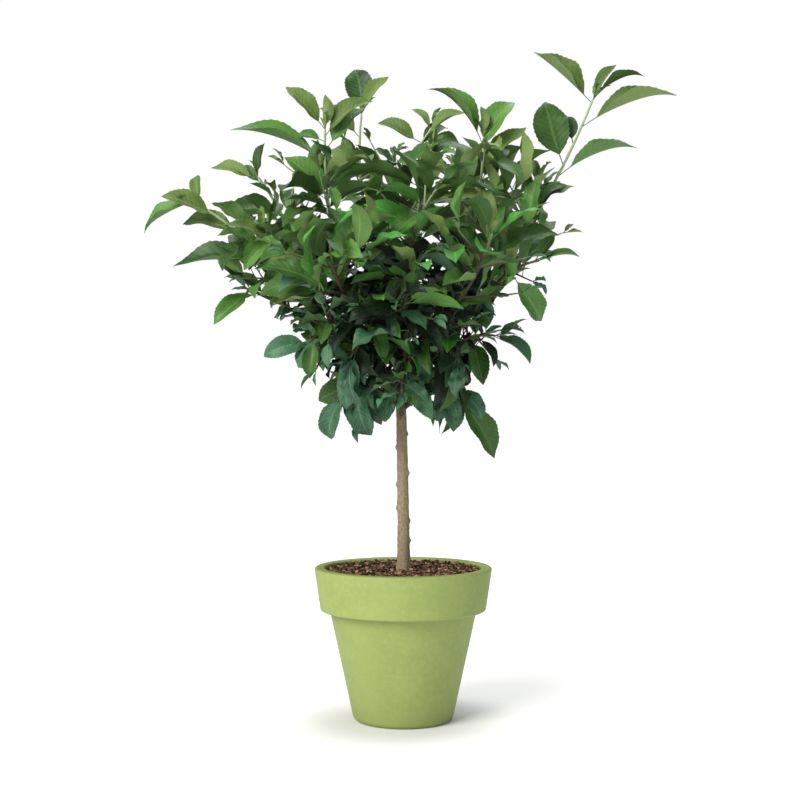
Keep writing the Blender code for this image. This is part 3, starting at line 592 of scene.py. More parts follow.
@dataclass(frozen=True)
class Leaf:
    """One leaf: its mass, root, unit directions, size, age and how flat it faces the front."""

    mass: str
    root: Vector
    along: Vector
    face: Vector
    length: float
    width: float
    age: float
    shown: float = 0.0

    @property
    def middle(self) -> Vector:
        """Return the point halfway along the leaf."""
        return self.root + self.along * self.length / 2

    def corners(self) -> list[Vector]:
        """Return root, tip, left, right, upper and lower points of the leaf's room."""
        widest = self.root + (self.along * LEAF_WIDEST + self.face * LEAF_ARCH) * self.length
        side = self.along.cross(self.face) * self.width / 2
        raised = self.face * self.width / 2 * LEAF_FOLD
        half = self.face * LEAF_THICKNESS / 2
        return [
            self.root - self.along * LEAF_SUNK,
            self.root + self.along * self.length,
            widest - side + raised,
            widest + side + raised,
            widest + half,
            widest - half,
        ]

    def samples(self) -> list[Vector]:
        """Return points spread over the leaf, away from its root."""
        root, tip, left, right, upper, _lower = self.corners()
        return [
            tip, left, right, upper, root.lerp(upper, RIB_SAMPLE),
            *(point.lerp(tip, 0.5) for point in (upper, left, right)),
            *(root.lerp(point, EDGE_SAMPLE) for point in (left, right)),
        ]


def grown_limbs() -> dict[str, Axis]:
    """Return the axes of the trunk and of every bough."""
    foot, bow, tip = Vector(TRUNK_FOOT), Vector(TRUNK_BOW), Vector(TRUNK_TIP)
    limbs = {"trunk": Axis.laid(foot, bow, tip, TRUNK_RADII, TRUNK_RINGS)}
    for name, limb in LIMBS.items():
        parent = limbs[limb.parent]
        radii = (limb.radius, limb.tip_radius)
        if limb.share == 1.0:
            limbs[name] = parent.carried_on(limb.tip, radii, BOUGH_RINGS)
            continue
        start = parent.at(limb.share)[0]
        end = Vector(limb.tip)
        middle = (start + end) / 2 - UP * limb.sag
        limbs[name] = Axis.laid(start, middle, end, radii, BOUGH_RINGS)
    return limbs


def reach_in_crown(point: Vector) -> float:
    """Return how far out from the crown's middle a point is, as seen from above."""
    return math.hypot(point.x - FUNNEL_CENTRE, point.y / FUNNEL_DEPTH_SHARE)


def is_in_crown(points: list[Vector]) -> bool:
    """Tell whether every point lies inside the crown's funnel and under its top.

    Args:
        points: Points of a leaf or twig.

    Returns:
        Whether they all do.
    """
    for point in points:
        rise = point.z - FUNNEL_FOOT_HEIGHT
        room = min(FUNNEL_FOOT_RADIUS + rise * FUNNEL_SLOPE, FUNNEL_RADIUS)
        if rise < 0 or point.z > CROWN_TOP or reach_in_crown(point) > room:
            return False
    return True


def in_front_view(point: Vector) -> Span:
    """Return how far to the side and how high the eye sees a point, at the trunk's distance."""
    scale = EYE_DISTANCE / (EYE_DISTANCE + point.y)
    return point.x * scale, EYE_HEIGHT + (point.z - EYE_HEIGHT) * scale


def is_sky(points: list[Vector]) -> bool:
    """Tell whether any point stands where the photographed front view shows sky.

    Args:
        points: Points of a leaf.

    Returns:
        Whether one lies beyond the crown's sides or above the hollows of its skyline.
    """
    for point in points:
        side, height = in_front_view(point)
        sides = tuple(np.interp(height, SIDE_HEIGHTS, edge) for edge in (LEFT_EDGE, RIGHT_EDGE))
        if not is_between(side, sides) or height > np.interp(side, SKYLINE_SIDES, SKYLINE):
            return True
        if height < BARE_TRUNK_TOP and abs(side) < BARE_TRUNK_SIDE:
            return True
    return False


def is_in_core(point: Vector) -> bool:
    """Tell whether a point is in the crown's dense core, where the short spurs grow."""
    rise = (point.z - CORE_FOOT) / (CORE_TOP - CORE_FOOT)
    return rise < 1 and reach_in_crown(point) < lerp(*CORE_RADII, max(rise, 0.0))


def seeded(name: str, purpose: Purpose) -> random.Random:
    """Return a mass's own seeded rule for one purpose."""
    return random.Random(FIRST_SEED + list(MASSES).index(name) + SEED_STEP * purpose.value)


def leaf_facing(along: Vector, heading: Vector, roll: float) -> Vector:
    """Return the direction a leaf's upper side looks in, between its twig's heading and the sky.

    Args:
        along: The leaf's own direction.
        heading: The direction of its twig.
        roll: How far it is rolled about its own direction.

    Returns:
        A unit vector square to the leaf.
    """
    wish = heading * LEAF_TO_TIP + UP * LEAF_TO_SKY
    face = wish - along * wish.dot(along)
    if face.length < NEARLY_ZERO:
        face = across(along)
    return Matrix.Rotation(roll, 3, along) @ face.normalized()


@dataclass
class Crown:
    """The whole crown: limbs, stems, twigs, spurs and leaves, each leaf kept clear of the rest."""

    limbs: dict[str, Axis]
    stems: dict[str, Axis] = field(default_factory=dict)
    twigs: dict[str, list[Axis]] = field(default_factory=dict)
    spurs: list[Axis] = field(default_factory=list)
    leaves: list[Leaf] = field(default_factory=list)
    wood: list[tuple[Axis, BVHTree]] = field(default_factory=list)
    trees: list[tuple[Vector, float, BVHTree]] = field(default_factory=list)

    def grow(self) -> None:
        """Grow the solids' own stems, twigs and leaves, and then the finer ones between them."""
        for name, mass in MASSES.items():
            self.stems[name] = self.limbs[mass.bough].carried_on(mass.tip, STEM_RADII, STEM_RINGS)
        for name in MASSES:
            self.twigs[name] = self.grown_twigs(name)
        axes = list(self.limbs.values()) + list(self.stems.values())
        axes += [twig for group in self.twigs.values() for twig in group]
        self.wood = [(axis, axis.skin(LIMB_MARGIN)) for axis in axes]
        for name in MASSES:
            self.add_outline_leaves(name)
        drawn = len(self.leaves)
        for name, mass in MASSES.items():
            rule = seeded(name, Purpose.LEAVES)
            top = OUTLINE_STEM_TOP if name in OUTLINE_LEAVES else 1.0
            self.add_leaves(name, self.stems[name], round(mass.leaves * top), top, rule)
            for twig in self.twigs[name]:
                self.add_leaves(name, twig, TWIG_LEAVES, 1.0, rule)
        self.leaves[drawn:] = [leaf for leaf in self.leaves[drawn:] if not is_sky(leaf.samples())]
        for name in MASSES:
            self.add_spurs(name)

    def is_own_space(self, points: list[Vector], name: str) -> bool:
        """Tell whether every point is about as near to its own mass's stem as to any other.

        Args:
            points: Points of a leaf or twig.
            name: The mass that it belongs to.

        Returns:
            Whether they all are.
        """
        for point in points:
            own = self.stems[name].distance(point)[0] - SPACE_OVERLAP
            for other, stem in self.stems.items():
                if other != name and stem.distance(point)[0] < own:
                    return False
        return True

    def grown_twigs(self, name: str) -> list[Axis]:
        """Return a mass's side twigs, set round its stem at the golden angle.

        Args:
            name: The mass.

        Returns:
            The twigs that found room.
        """
        mass = MASSES[name]
        rule = seeded(name, Purpose.TWIGS)
        stem = self.stems[name]
        twigs: list[Axis] = []
        turn = rule.uniform(0, math.tau)
        for index in range(mass.twigs):
            share = lerp(FIRST_TWIG, mass.twig_top, (index + rule.random()) / mass.twigs)
            length = mass.twig_length * lerp(1.0, TWIG_SHRINK, share)
            start, heading, _radius = stem.at(share)
            for attempt in range(TRIES):
                side = turned(heading, turn + attempt * TWIG_TURN)
                way = (side + heading * rule.uniform(*TWIG_LEAN)).normalized() * length
                end = start + way + UP * length * (TWIG_LIFT - mass.droop / 2)
                twig = Axis.laid(start, start + way / 2, end, TWIG_RADII, TWIG_RINGS)
                free = [twig.at(step / TWIG_CHECKS)[0]
                        for step in range(TWIG_FREE_FROM, TWIG_CHECKS + 1)]
                wood = list(self.limbs.values()) + [stem] + twigs
                if is_in_crown(free) and self.is_own_space(free, name) and is_clear(free, wood):
                    twigs.append(twig)
                    break
            turn += GOLDEN_ANGLE
        return twigs

    def try_leaf(self, leaf: Leaf, own_axis: Axis, bound: Bound) -> bool:
        """Place a leaf if it keeps to its bound and touches no limb, twig or leaf.

        Args:
            leaf: The leaf.
            own_axis: The twig it grows on.
            bound: The space it has to keep to.

        Returns:
            Whether it was placed.
        """
        samples = leaf.samples()
        if bound is not Bound.FREE and not is_in_crown(samples):
            return False
        if bound is Bound.MASS and not self.is_own_space(samples, leaf.mass):
            return False
        if bound is Bound.CROWN and is_sky(samples):
            return False
        middle, reach = leaf.middle, leaf.length * LEAF_REACH
        tree = BVHTree.FromPolygons(leaf.corners(), LEAF_FACES)
        if any(axis is not own_axis and tree.overlap(skin) for axis, skin in self.wood):
            return False
        for other_middle, other_reach, other_tree in self.trees:
            if (other_middle - middle).length < reach + other_reach and tree.overlap(other_tree):
                return False
        self.trees.append((middle, reach, tree))
        self.leaves.append(leaf)
        return True

    def add_outline_leaves(self, name: str) -> None:
        """Place the leaves that draw a mass's outline.

        Args:
            name: The mass.
        """
        rule = seeded(name, Purpose.OUTLINE)
        stem = self.stems[name]
        for share, bearing, length, shown in OUTLINE_LEAVES.get(name, ()):
            root, heading, _radius = stem.at(share)
            angle = math.radians(bearing)
            lean = rule.uniform(-OUTLINE_LEAN, OUTLINE_LEAN)
            roll = rule.uniform(-OUTLINE_ROLL, OUTLINE_ROLL)
            width = length * lerp(*OUTLINE_WIDTHS, shown) * rule.uniform(*OUTLINE_WIDTH_SPREAD)
            for turn in OUTLINE_TURNS:
                along = Vector((math.cos(angle), lean + turn, math.sin(angle)))
                reach = length * along.length
                along.normalize()
                face = leaf_facing(along, heading, roll).lerp(FRONT, shown)
                face = (face - along * face.dot(along)).normalized()
                leaf = Leaf(name, root, along, face, reach, width, 1 - share, shown)
                if self.try_leaf(leaf, stem, Bound.FREE):
                    break

    def add_leaves(self, name: str, axis: Axis, count: int, top: float, rule: random.Random,
                   bound: Bound = Bound.MASS, scale: float = 1.0) -> None:
        """Set leaves round an axis at the golden angle, upright at its tip and spread at its foot.

        Args:
            name: The mass that the leaves belong to.
            axis: The stem, twig or spur.
            count: How many leaves are tried.
            top: The share of the axis where the uppermost is rooted.
            rule: The seeded rule.
            bound: The space that they keep to.
            scale: Their size beside the mass's own leaves.
        """
        mass = MASSES[name]
        turn = rule.uniform(0, math.tau)
        for index in range(count):
            place = (index + rule.uniform(0.0, LEAF_STEP_SPREAD)) / count
            share = lerp(top, LOWEST_LEAF, place)
            age = 1 - share
            root, heading, _radius = axis.at(share)
            size = lerp(*LEAF_SIZES, min(age * GROWN_PACE, 1.0))
            size = size * rule.uniform(*LEAF_SIZE_SPREAD) * scale
            pitch = lerp(*LEAF_PITCH, min(age * SPREAD_PACE, 1.0))
            pitch = math.radians(pitch + rule.uniform(-LEAF_PITCH_SPREAD, LEAF_PITCH_SPREAD))
            droop = mass.droop * rule.uniform(*DROOP_SPREAD)
            slim = rule.uniform(*LEAF_WIDTHS)
            roll = rule.uniform(-LEAF_ROLL, LEAF_ROLL)
            for attempt in range(TRIES):
                ease = attempt / TRIES
                side = turned(heading, turn + attempt * LEAF_TURN)
                along = heading * math.cos(pitch) + side * math.sin(pitch)
                along = (along - UP * droop * (1 - ease)).normalized()
                face = leaf_facing(along, heading, roll)
                length = mass.leaf_length * size * lerp(*LEAF_EASE, ease)
                leaf = Leaf(name, root, along, face, length, length * slim, age)
                if self.try_leaf(leaf, axis, bound):
                    break
            turn += GOLDEN_ANGLE

    def add_spurs(self, name: str) -> None:
        """Carry the rule on to a mass's finer twigs, on its stem, its side twigs and its bough.

        Args:
            name: The mass.
        """
        rule = seeded(name, Purpose.SPURS)
        mass = MASSES[name]
        foot, top = SPUR_STEM_SHARES
        top = OUTLINE_STEM_TOP if name in OUTLINE_LEAVES else top
        hosts = [
            (self.stems[name], SPURS_PER_STEM, (foot, top)),
            *((twig, SPURS_PER_TWIG, SPUR_TWIG_SHARES) for twig in self.twigs[name]),
            (self.limbs[mass.bough], SPURS_PER_BOUGH, BOUGH_SPUR_SHARES),
            (self.stems[name], SHOOT_SPURS.get(name, 0), SHOOT_SPUR_SHARES),
        ]
        for number, (host, count, shares) in enumerate(hosts):
            turn = rule.uniform(0, math.tau)
            for index in range(count):
                share = lerp(*shares, (index + rule.random()) / count)
                start, heading, radius = host.at(share)
                side = turned(heading, turn)
                turn += GOLDEN_ANGLE
                if number < len(hosts) - 1 and not is_in_core(start):
                    continue
                way = (side + heading * rule.uniform(*TWIG_LEAN)).normalized()
                length = rule.uniform(*SPUR_LENGTHS) + radius
                end = start + way * length + UP * length * TWIG_LIFT
                spur = Axis.laid(start, start + way * length / 2, end, SPUR_RADII, TWIG_RINGS)
                before = len(self.leaves)
                scale = rule.uniform(*SPUR_LEAF_SCALE)
                self.add_leaves(name, spur, SPUR_LEAVES, 1.0, rule, Bound.CROWN, scale)
                if len(self.leaves) > before:
                    self.spurs.append(spur)


def is_clear(points: list[Vector], axes: list[Axis]) -> bool:
    """Tell whether every point keeps a twig's margin from the surface of every axis.

    Args:
        points: Points of a twig.
        axes: The axes of the wood around it.

    Returns:
        Whether they all do.
    """
    for axis in axes:
        for point in points:
            gap, radius = axis.distance(point)
            if gap < radius + TWIG_MARGIN:
                return False
    return True


def linear(colour: Colour) -> tuple[float, ...]:
    """Return a display colour, given from 0 to 255, as an opaque linear one."""
    return (*(((part / 255 + 0.055) / 1.055) ** 2.4 for part in colour), 1.0)


def steps(low: float, high: float, place: Array) -> Array:
    """Return a smooth rise from 0 to 1 as a place goes from low to high."""
    share = np.clip((place - low) / (high - low), 0, 1)
    return share * share * (3 - 2 * share)


@dataclass
class Heap:
    """Many small shapes of one kind, gathered as arrays and made one mesh, in metres."""

    parts: list[tuple[Array, ...]] = field(default_factory=list)
    count: int = 0

    def add(self, points: Array, quads: Array, tris: Array,
            quad_uvs: Array, tri_uvs: Array, values: Array) -> None:
        """Add one shape, or many of one kind.

        Args:
            points: Positions in millimetres, one row each.
            quads: Corner numbers of the four-sided faces.
            tris: Corner numbers of the three-sided faces.
            quad_uvs: The map's place of each corner of the four-sided faces.
            tri_uvs: The map's place of each corner of the three-sided faces.
            values: One number for each point, which the finish reads.
        """
        self.parts.append((points, quads + self.count, tris + self.count, quad_uvs, tri_uvs,
                           values))
        self.count += len(points)

    def mesh(self, name: str, uv_name: str, value_name: str) -> bpy.types.Mesh:
        """Make the gathered shapes one mesh.

        Args:
            name: The mesh's name.
            uv_name: The name of its map.
            value_name: The name of the number kept at each point.

        Returns:
            The mesh.
        """
        points, quads, tris, quad_uvs, tri_uvs, values = map(np.concatenate, zip(*self.parts))
        loops = np.concatenate([quads.ravel(), tris.ravel()]).astype(np.int32)
        starts = np.concatenate([
            np.arange(len(quads)) * 4, len(quads) * 4 + np.arange(len(tris)) * 3])
        mesh = bpy.data.meshes.new(name)
        mesh.vertices.add(len(points))
        mesh.vertices.foreach_set("co", (points * MM).astype(np.float32).ravel())
        mesh.loops.add(len(loops))
        mesh.loops.foreach_set("vertex_index", loops)
        mesh.polygons.add(len(starts))
        mesh.polygons.foreach_set("loop_start", starts.astype(np.int32))
        mesh.update(calc_edges=True)
        uvs = np.concatenate([quad_uvs.ravel(), tri_uvs.ravel()]).astype(np.float32)
        mesh.uv_layers.new(name=uv_name).data.foreach_set("uv", uvs)
        kept = mesh.attributes.new(value_name, "FLOAT", "POINT")
        kept.data.foreach_set("value", values.astype(np.float32))
        mesh.validate()
        return mesh


def linked(name: str, data: bpy.types.ID) -> bpy.types.Object:
    """Put a mesh, light or camera in the scene.

    Args:
        name: The object's name.
        data: The mesh, light or camera.

    Returns:
        The object.
    """
    made = bpy.data.objects.new(name, data)
    bpy.context.scene.collection.objects.link(made)
    return made


def mesh_from(shape: bmesh.types.BMesh, name: str) -> bpy.types.Mesh:
    """Return a shape as a mesh and let go of the shape.

    Args:
        shape: The shape.
        name: The mesh's name.

    Returns:
        The mesh.
    """
    mesh = bpy.data.meshes.new(name)
    shape.to_mesh(mesh)
    shape.free()
    return mesh


def add_piece(name: str, mesh: bpy.types.Mesh, finish: Material, nodes: list[str],
              sharp: float | None = None) -> None:
    """Put a finished mesh in the scene as a piece of the plant.

    Args:
        name: The piece's name.
        mesh: Its mesh.
        finish: Its material.
        nodes: The solids that it stands for.
        sharp: Edges that turn by more than this many degrees stay sharp; none is flat all over.
    """
    piece = linked(name, mesh)
    mesh.materials.clear()
    mesh.materials.append(finish)
    if sharp is None:
        mesh.shade_flat()
    else:
        mesh.shade_smooth()
        mesh.set_sharp_from_angle(angle=math.radians(sharp))
    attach(piece, "root")
    if nodes:
        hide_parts(*nodes)
    triangles = sum(len(face.vertices) - 2 for face in mesh.polygons)
    LOG.info("%s: %d triangles, for %d solids", name, triangles, len(nodes))


def fine_line(axis: Axis, rings: int) -> tuple[Array, Array, Array]:
    """Return a fine middle line along an axis's curve.

    Args:
        axis: The axis.
        rings: How many steps the line has.

    Returns:
        Shares of the curve, the points there and how far they are from the foot.
    """
    shares = np.linspace(0, 1, rings + 1)
    line = np.array([bezier(*axis.curve, share) for share in shares])
    away = np.concatenate([[0], np.cumsum(np.linalg.norm(np.diff(line, axis=0), axis=1))])
    return shares, line, away


@dataclass(frozen=True)
class Tube:
    """A round limb: its middle line, its kind of skin and the seed of its buds."""

    axis: Axis
    kind: Skin
    seed: int

    def add_to(self, heap: Heap) -> None:
        """Add the limb's skin to a heap, with its length and its girth as its map.

        Args:
            heap: Where the skin goes.
        """
        shares, line, away = fine_line(self.axis, self.kind.rings)
        headings = np.gradient(line, axis=0)
        headings /= np.linalg.norm(headings, axis=1)[:, None]
        radii = np.interp(shares, (0, 1), (self.axis.radii[0], self.axis.radii[-1]))
        tip = steps(away[-1] - TIP_ROUNDING, away[-1], away)
        radii = radii * (1 - (1 - self.kind.blunt) * tip)
        turns = np.linspace(0, math.tau, self.kind.sides, endpoint=False)
        skin = radii[:, None] + self.relief(away, turns, radii)
        sideways = np.array(across(Vector(headings[0])))
        rings = []
        for centre, heading, row in zip(line, headings, skin):
            sideways = sideways - heading * sideways.dot(heading)
            sideways /= np.linalg.norm(sideways)
            upward = np.cross(heading, sideways)
            spokes = np.outer(np.cos(turns), sideways) + np.outer(np.sin(turns), upward)
            rings.append(centre + spokes * row[:, None])
        ages = np.linspace(*self.kind.ages, len(line))
        add_rings(heap, np.array(rings), away, np.mean(radii), ages)

    def relief(self, away: Array, turns: Array, radii: Array) -> Array:
        """Return how far the skin stands out: a collar at the foot and buds along the limb.

        Args:
            away: Each ring's distance from the foot.
            turns: Each side's angle.
            radii: Each ring's radius.

        Returns:
            The swell, ring by ring and side by side.
        """
        swell = np.zeros((len(away), len(turns)))
        swell += (self.kind.collar * radii[0] * np.exp(-away / COLLAR_FALL))[:, None]
        rule = random.Random(FIRST_SEED + self.seed)
        place = rule.uniform(*BUD_SPACING)
        angle = rule.uniform(0, math.tau)
        while self.kind.knobs and place < away[-1]:
            near = ((away - place) / BUD_LENGTH) ** 2
            around = (turns - angle + math.pi) % math.tau - math.pi
            bump = np.exp(-near[:, None] - (around[None, :] / BUD_ARC) ** 2)
            swell += self.kind.knobs * radii.mean() * bump
            place += rule.uniform(*BUD_SPACING)
            angle += GOLDEN_ANGLE
        return swell


def add_rings(heap: Heap, rings: Array, away: Array, girth: float,
              values: Array) -> None:
    """Join rings of points into a closed skin and add it to a heap.

    Args:
        heap: Where the skin goes.
        rings: Positions, ring by ring.
        away: Each ring's distance from the first.
        girth: The mean radius, which gives the map its width.
        values: Each ring's number.
    """
    count, sides = rings.shape[:2]
    index = np.arange(count * sides).reshape(count, sides)
    after = np.roll(index, -1, axis=1)
    quads = np.stack([index[:-1], after[:-1], after[1:], index[1:]], axis=-1).reshape(-1, 4)
    around = np.arange(sides + 1) / sides * math.tau * girth
    uvs = np.zeros((count - 1, sides, 4, 2))
    for corner, (ring, side) in enumerate(((0, 0), (0, 1), (1, 1), (1, 0))):
        uvs[:, :, corner, 0] = around[side:sides + side][None, :]
        uvs[:, :, corner, 1] = away[ring:count - 1 + ring][:, None]
    ends = rings[(0, -1), :].mean(axis=1)
    points = np.concatenate([rings.reshape(-1, 3), ends])
    foot, tip = count * sides, count * sides + 1
    tris = np.concatenate([
        np.stack([after[0], index[0], np.full(sides, foot)], axis=-1),
        np.stack([index[-1], after[-1], np.full(sides, tip)], axis=-1)])
    tri_uvs = np.zeros((len(tris), 3, 2))
    tri_uvs[sides:, :, 1] = away[-1]
    point_values = np.concatenate([np.repeat(values, sides), values[:1], values[-1:]])
    heap.add(points, quads, tris, uvs.reshape(-1, 4, 2), tri_uvs, point_values)


def squares(grid: Array, flipped: bool = False) -> Array:
    """Return the four corners of every square of a grid, the other way round when flipped."""
    corners = [grid[:-1, :-1], grid[1:, :-1], grid[1:, 1:], grid[:-1, 1:]]
    return np.stack([corners[0], *corners[:0:-1]] if flipped else corners, axis=2)


@dataclass(frozen=True)
class LeafMesher:
    """Turns leaves into fine blades: folded, arched and toothed, each on its own stalk."""

    stations: int = 34
    columns: tuple[float, ...] = (-1.0, -0.5, 0.0, 0.5, 1.0)
    outline_at: tuple[float, ...] = (
        0.0, 0.05, 0.14, 0.27, 0.42, 0.56, 0.70, 0.82, 0.91, 0.96, 1.0)
    outline: tuple[float, ...] = (
        0.04, 0.26, 0.60, 0.88, 1.0, 0.97, 0.80, 0.52, 0.25, 0.12, 0.02)
    stalk_share: Span = (0.13, 0.21)
    stalk_radius: float = 0.62
    stalk_flatness: float = 0.9
    blade_thickness: float = 0.34
    rib_thickness: float = 0.9
    rib_width: float = 0.22
    rib_fade: Span = (0.2, 1.0)
    edge_at: Triple = (0.0, 0.5, 1.0)
    edge_thickness: Triple = (1.0, 0.8, 0.12)
    tooth: float = 0.022
    teeth_begin: Span = (0.1, 0.2)
    teeth_end: Span = (0.85, 0.97)
    least_fold: float = 0.45
    fold_pace: float = 1.1
    fold_power: float = 1.25
    sway: Span = (-0.05, 0.05)
    curl_from: float = 0.6
    twist: Span = (-0.5, 0.5)
    twist_from: float = 0.3
    wave_begin: Span = (0.05, 0.3)
    wave_beats: Span = (1.6, 3.2)
    wave_lag: Span = (0.8, 2.6)
    wave_power: float = 1.6

    def blades(self, leaves: list[Leaf], form: LeafForm, seed: int) -> Heap:
        """Return the fine meshes of many leaves.

        Args:
            leaves: The leaves.
            form: How they are shaped.
            seed: The seed of their differences.

        Returns:
            A heap that holds them all.
        """
        rule = np.random.default_rng(seed)
        spreads = (self.stalk_share, form.bend, form.curl, self.sway, form.fold, self.twist,
                   form.wave, self.wave_beats, (0, math.tau), self.wave_lag)
        draws = [rule.uniform(*spread, (len(leaves), 1)) for spread in spreads]
        stalk, bend, curl, sway, fold, twist, wave, beats, phase, lag = draws
        share = np.linspace(0, 1, self.stations)[None, :]
        blade = np.clip((share - stalk) / (1 - stalk), 0, 1)
        on_blade = share > stalk
        length = np.array([[leaf.length] for leaf in leaves])
        width = np.array([[min(leaf.width, WIDEST_LEAF) * form.widen] for leaf in leaves])
        shown = np.array([[leaf.shown] for leaf in leaves])
        fold = self.folds(blade, fold, shown, length)
        wave = wave * steps(*self.wave_begin, blade) * on_blade
        wave = np.where(shown > 0, FLATTENED, 1.0) * wave
        beat = beats * math.tau * blade + phase
        column = np.array(self.columns)[None, None, :]
        ripple = np.sin(beat[..., None] + np.where(column > 0, lag[..., None], 0.0))
        aside = column * np.cos(fold)[..., None]
        rise = np.abs(column) ** self.fold_power * np.sin(fold)[..., None]
        rise = rise + wave[..., None] * np.abs(column) ** self.wave_power * ripple
        roll = (twist * (share - self.twist_from))[..., None]
        cos, sin = np.cos(roll), np.sin(roll)
        half = self.half_widths(blade, on_blade, width)[..., None]
        aside, rise = half * (aside * cos - rise * sin), half * (aside * sin + rise * cos)
        thick = self.thickness(blade, on_blade)
        line, normal = (part[:, :, None, :] for part in self.midrib(share, bend, curl, sway))
        middle = line * length[..., None, None] + aside[..., None] * (0.0, 1.0, 0.0)
        frames = np.array([[leaf.along[:], leaf.face.cross(leaf.along)[:], leaf.face[:]]
                           for leaf in leaves])
        roots = np.array([leaf.root[:] for leaf in leaves])[:, None, None, :]
        upper, lower = (
            np.einsum("nscj,njk->nsck", middle + height[..., None] * normal, frames) + roots
            for height in (rise + thick / 2, rise - thick / 2))
        upper[:, :, (0, -1)] = (upper[:, :, (0, -1)] + lower[:, :, (0, -1)]) / 2
        return self.gathered(upper, lower[:, :, 1:-1], rule)

    def half_widths(self, blade: Array, on_blade: Array, width: Array) -> Array:
        """Return half the width at each station: the toothed blade, or the stalk below it.

        Args:
            blade: Places along the blade.
            on_blade: Where the blade has begun.
            width: Each leaf's width.

        Returns:
            Half widths by leaf and station.
        """
        teeth = np.where(np.arange(self.stations) % 2 == 1, 1.0, -1.0)[None, :]
        teeth = teeth * steps(*self.teeth_begin, blade) * (1 - steps(*self.teeth_end, blade))
        half = np.interp(blade, self.outline_at, self.outline) * width / 2
        half = np.maximum(half + self.tooth * width / 2 * teeth, self.stalk_radius * (1 - blade))
        return np.where(on_blade, half, self.stalk_radius)

    def folds(self, blade: Array, fold: Array, shown: Array, length: Array) -> Array:
        """Return how far each leaf is folded along its rib at each station.

        Args:
            blade: Places along the blade.
            fold: The fold dealt out to each leaf.
            shown: How flat each leaf faces the front, or 0 if it doesn't draw the outline.
            length: Each leaf's length.

        Returns:
            Angles in radians.
        """
        drawn = SIDE_FOLD * (1 - steps(*BROAD, shown)) + LONG_FOLD * steps(*LONG_LEAF, length)
        fold = np.where(shown > 0, FLATTENED * fold + drawn, fold)
        swell = np.sin(math.pi * np.clip(blade * self.fold_pace, 0, 1))
        return fold * (self.least_fold + (1 - self.least_fold) * swell)

    def thickness(self, blade: Array, on_blade: Array) -> Array:
        """Return the leaves' thickness, which is most at the rib and least at the edge.

        Args:
            blade: Places along the blade.
            on_blade: Where the blade has begun.

        Returns:
            Thickness by leaf, station and column.
        """
        column = np.array(self.columns)
        edge = np.interp(np.abs(column), self.edge_at, self.edge_thickness)
        rib = np.exp(-(column / self.rib_width) ** 2)
        more = (self.rib_thickness - self.blade_thickness) * rib
        thick = self.blade_thickness * edge + more * (1 - steps(*self.rib_fade, blade))[..., None]
        stalk = 2 * self.stalk_radius * edge * self.stalk_flatness
        return np.where(on_blade[..., None], thick, stalk)

    def midrib(self, share: Array, bend: Array, curl: Array,
               sway: Array) -> tuple[Array, Array]:
        """Return the middle line, whose tip lies straight ahead of its root, and its normals.

        Args:
            share: Places along the leaf.
            bend: How far it arches, in radians.
            curl: How far its tip turns down more, in radians.
            sway: How far it bows to one side, as a share of its length.

        Returns:
            The line for a leaf of length one, and the unit normals.
        """
        tip = np.clip((share - self.curl_from) / (1 - self.curl_from), 0, 1)
        pitch = bend * (0.5 - share) - curl * tip ** 2
        step = np.diff(share, prepend=0)
        ahead = np.cumsum(np.cos(pitch) * step, axis=1)
        above = np.cumsum(np.sin(pitch) * step, axis=1)
        tilt = np.arctan2(above[:, -1:], ahead[:, -1:]) + TIP_FALL
        reach = np.hypot(above[:, -1:], ahead[:, -1:])
        cos, sin = np.cos(tilt) / reach, np.sin(tilt) / reach
        line = np.stack([ahead * cos + above * sin, 4 * sway * share * (1 - share),
                         above * cos - ahead * sin], axis=-1)
        lean = pitch - tilt
        normal = np.stack([-np.sin(lean), np.zeros_like(lean), np.cos(lean)], axis=-1)
        return line, normal

    def gathered(self, upper: Array, lower: Array, rule: np.random.Generator) -> Heap:
        """Join upper and under sides into closed leaves, each with a cell of the map.

        Args:
            upper: Upper points by leaf, station and column.
            lower: Under points without the edges.
            rule: The random source that deals out the cells.

        Returns:
            A heap that holds the leaves.
        """
        count, rows, columns = upper.shape[:3]
        top = np.arange(rows * columns).reshape(rows, columns)
        under = top.copy()
        under[:, 1:-1] = rows * columns + np.arange(rows * (columns - 2)).reshape(rows, -1)
        u = np.tile(MAP_MIDDLE + MAP_REACH * np.array(self.columns), (rows, 1))
        v = np.tile(np.linspace(*MAP_ENDS, rows)[:, None], (1, columns))
        place = np.stack([u, v], axis=-1)
        quads = [squares(top).reshape(-1, 4), squares(under, True).reshape(-1, 4)]
        quad_uvs = [squares(place).reshape(-1, 4, 2),
                    squares(place + (MAP_HALF, 0), True).reshape(-1, 4, 2)]
        tris, tri_uvs = [], []
        for row, ways in ((0, 1), (rows - 1, -1)):
            for left in range(1, columns - 2):
                ring = [top[row, left], top[row, left + 1], under[row, left + 1], under[row, left]]
                quads.append(np.array([ring[::ways]]))
                quad_uvs.append(np.array([[place[row, left]] * 4]))
            for ring in ((top[row, 0], top[row, 1], under[row, 1]),
                         (top[row, -2], top[row, -1], under[row, -2])):
                tris.append(ring[::ways])
                tri_uvs.append([place[row, 0]] * 3)
        points = np.concatenate([upper.reshape(count, -1, 3), lower.reshape(count, -1, 3)], axis=1)
        shift = (np.arange(count) * points.shape[1])[:, None, None]
        cell = rule.permutation(np.arange(count) % MAP_CELLS ** 2)
        cell = np.stack([cell % MAP_CELLS, cell // MAP_CELLS], axis=-1)[:, None, None, :]
        heap = Heap()
        heap.add(points.reshape(-1, 3), (np.concatenate(quads) + shift).reshape(-1, 4),
                 (np.array(tris) + shift).reshape(-1, 3),
                 ((np.concatenate(quad_uvs) + cell) / MAP_CELLS).reshape(-1, 4, 2),
                 ((np.array(tri_uvs) + cell) / MAP_CELLS).reshape(-1, 3, 2),
                 np.zeros(points.size // 3))
        return heap


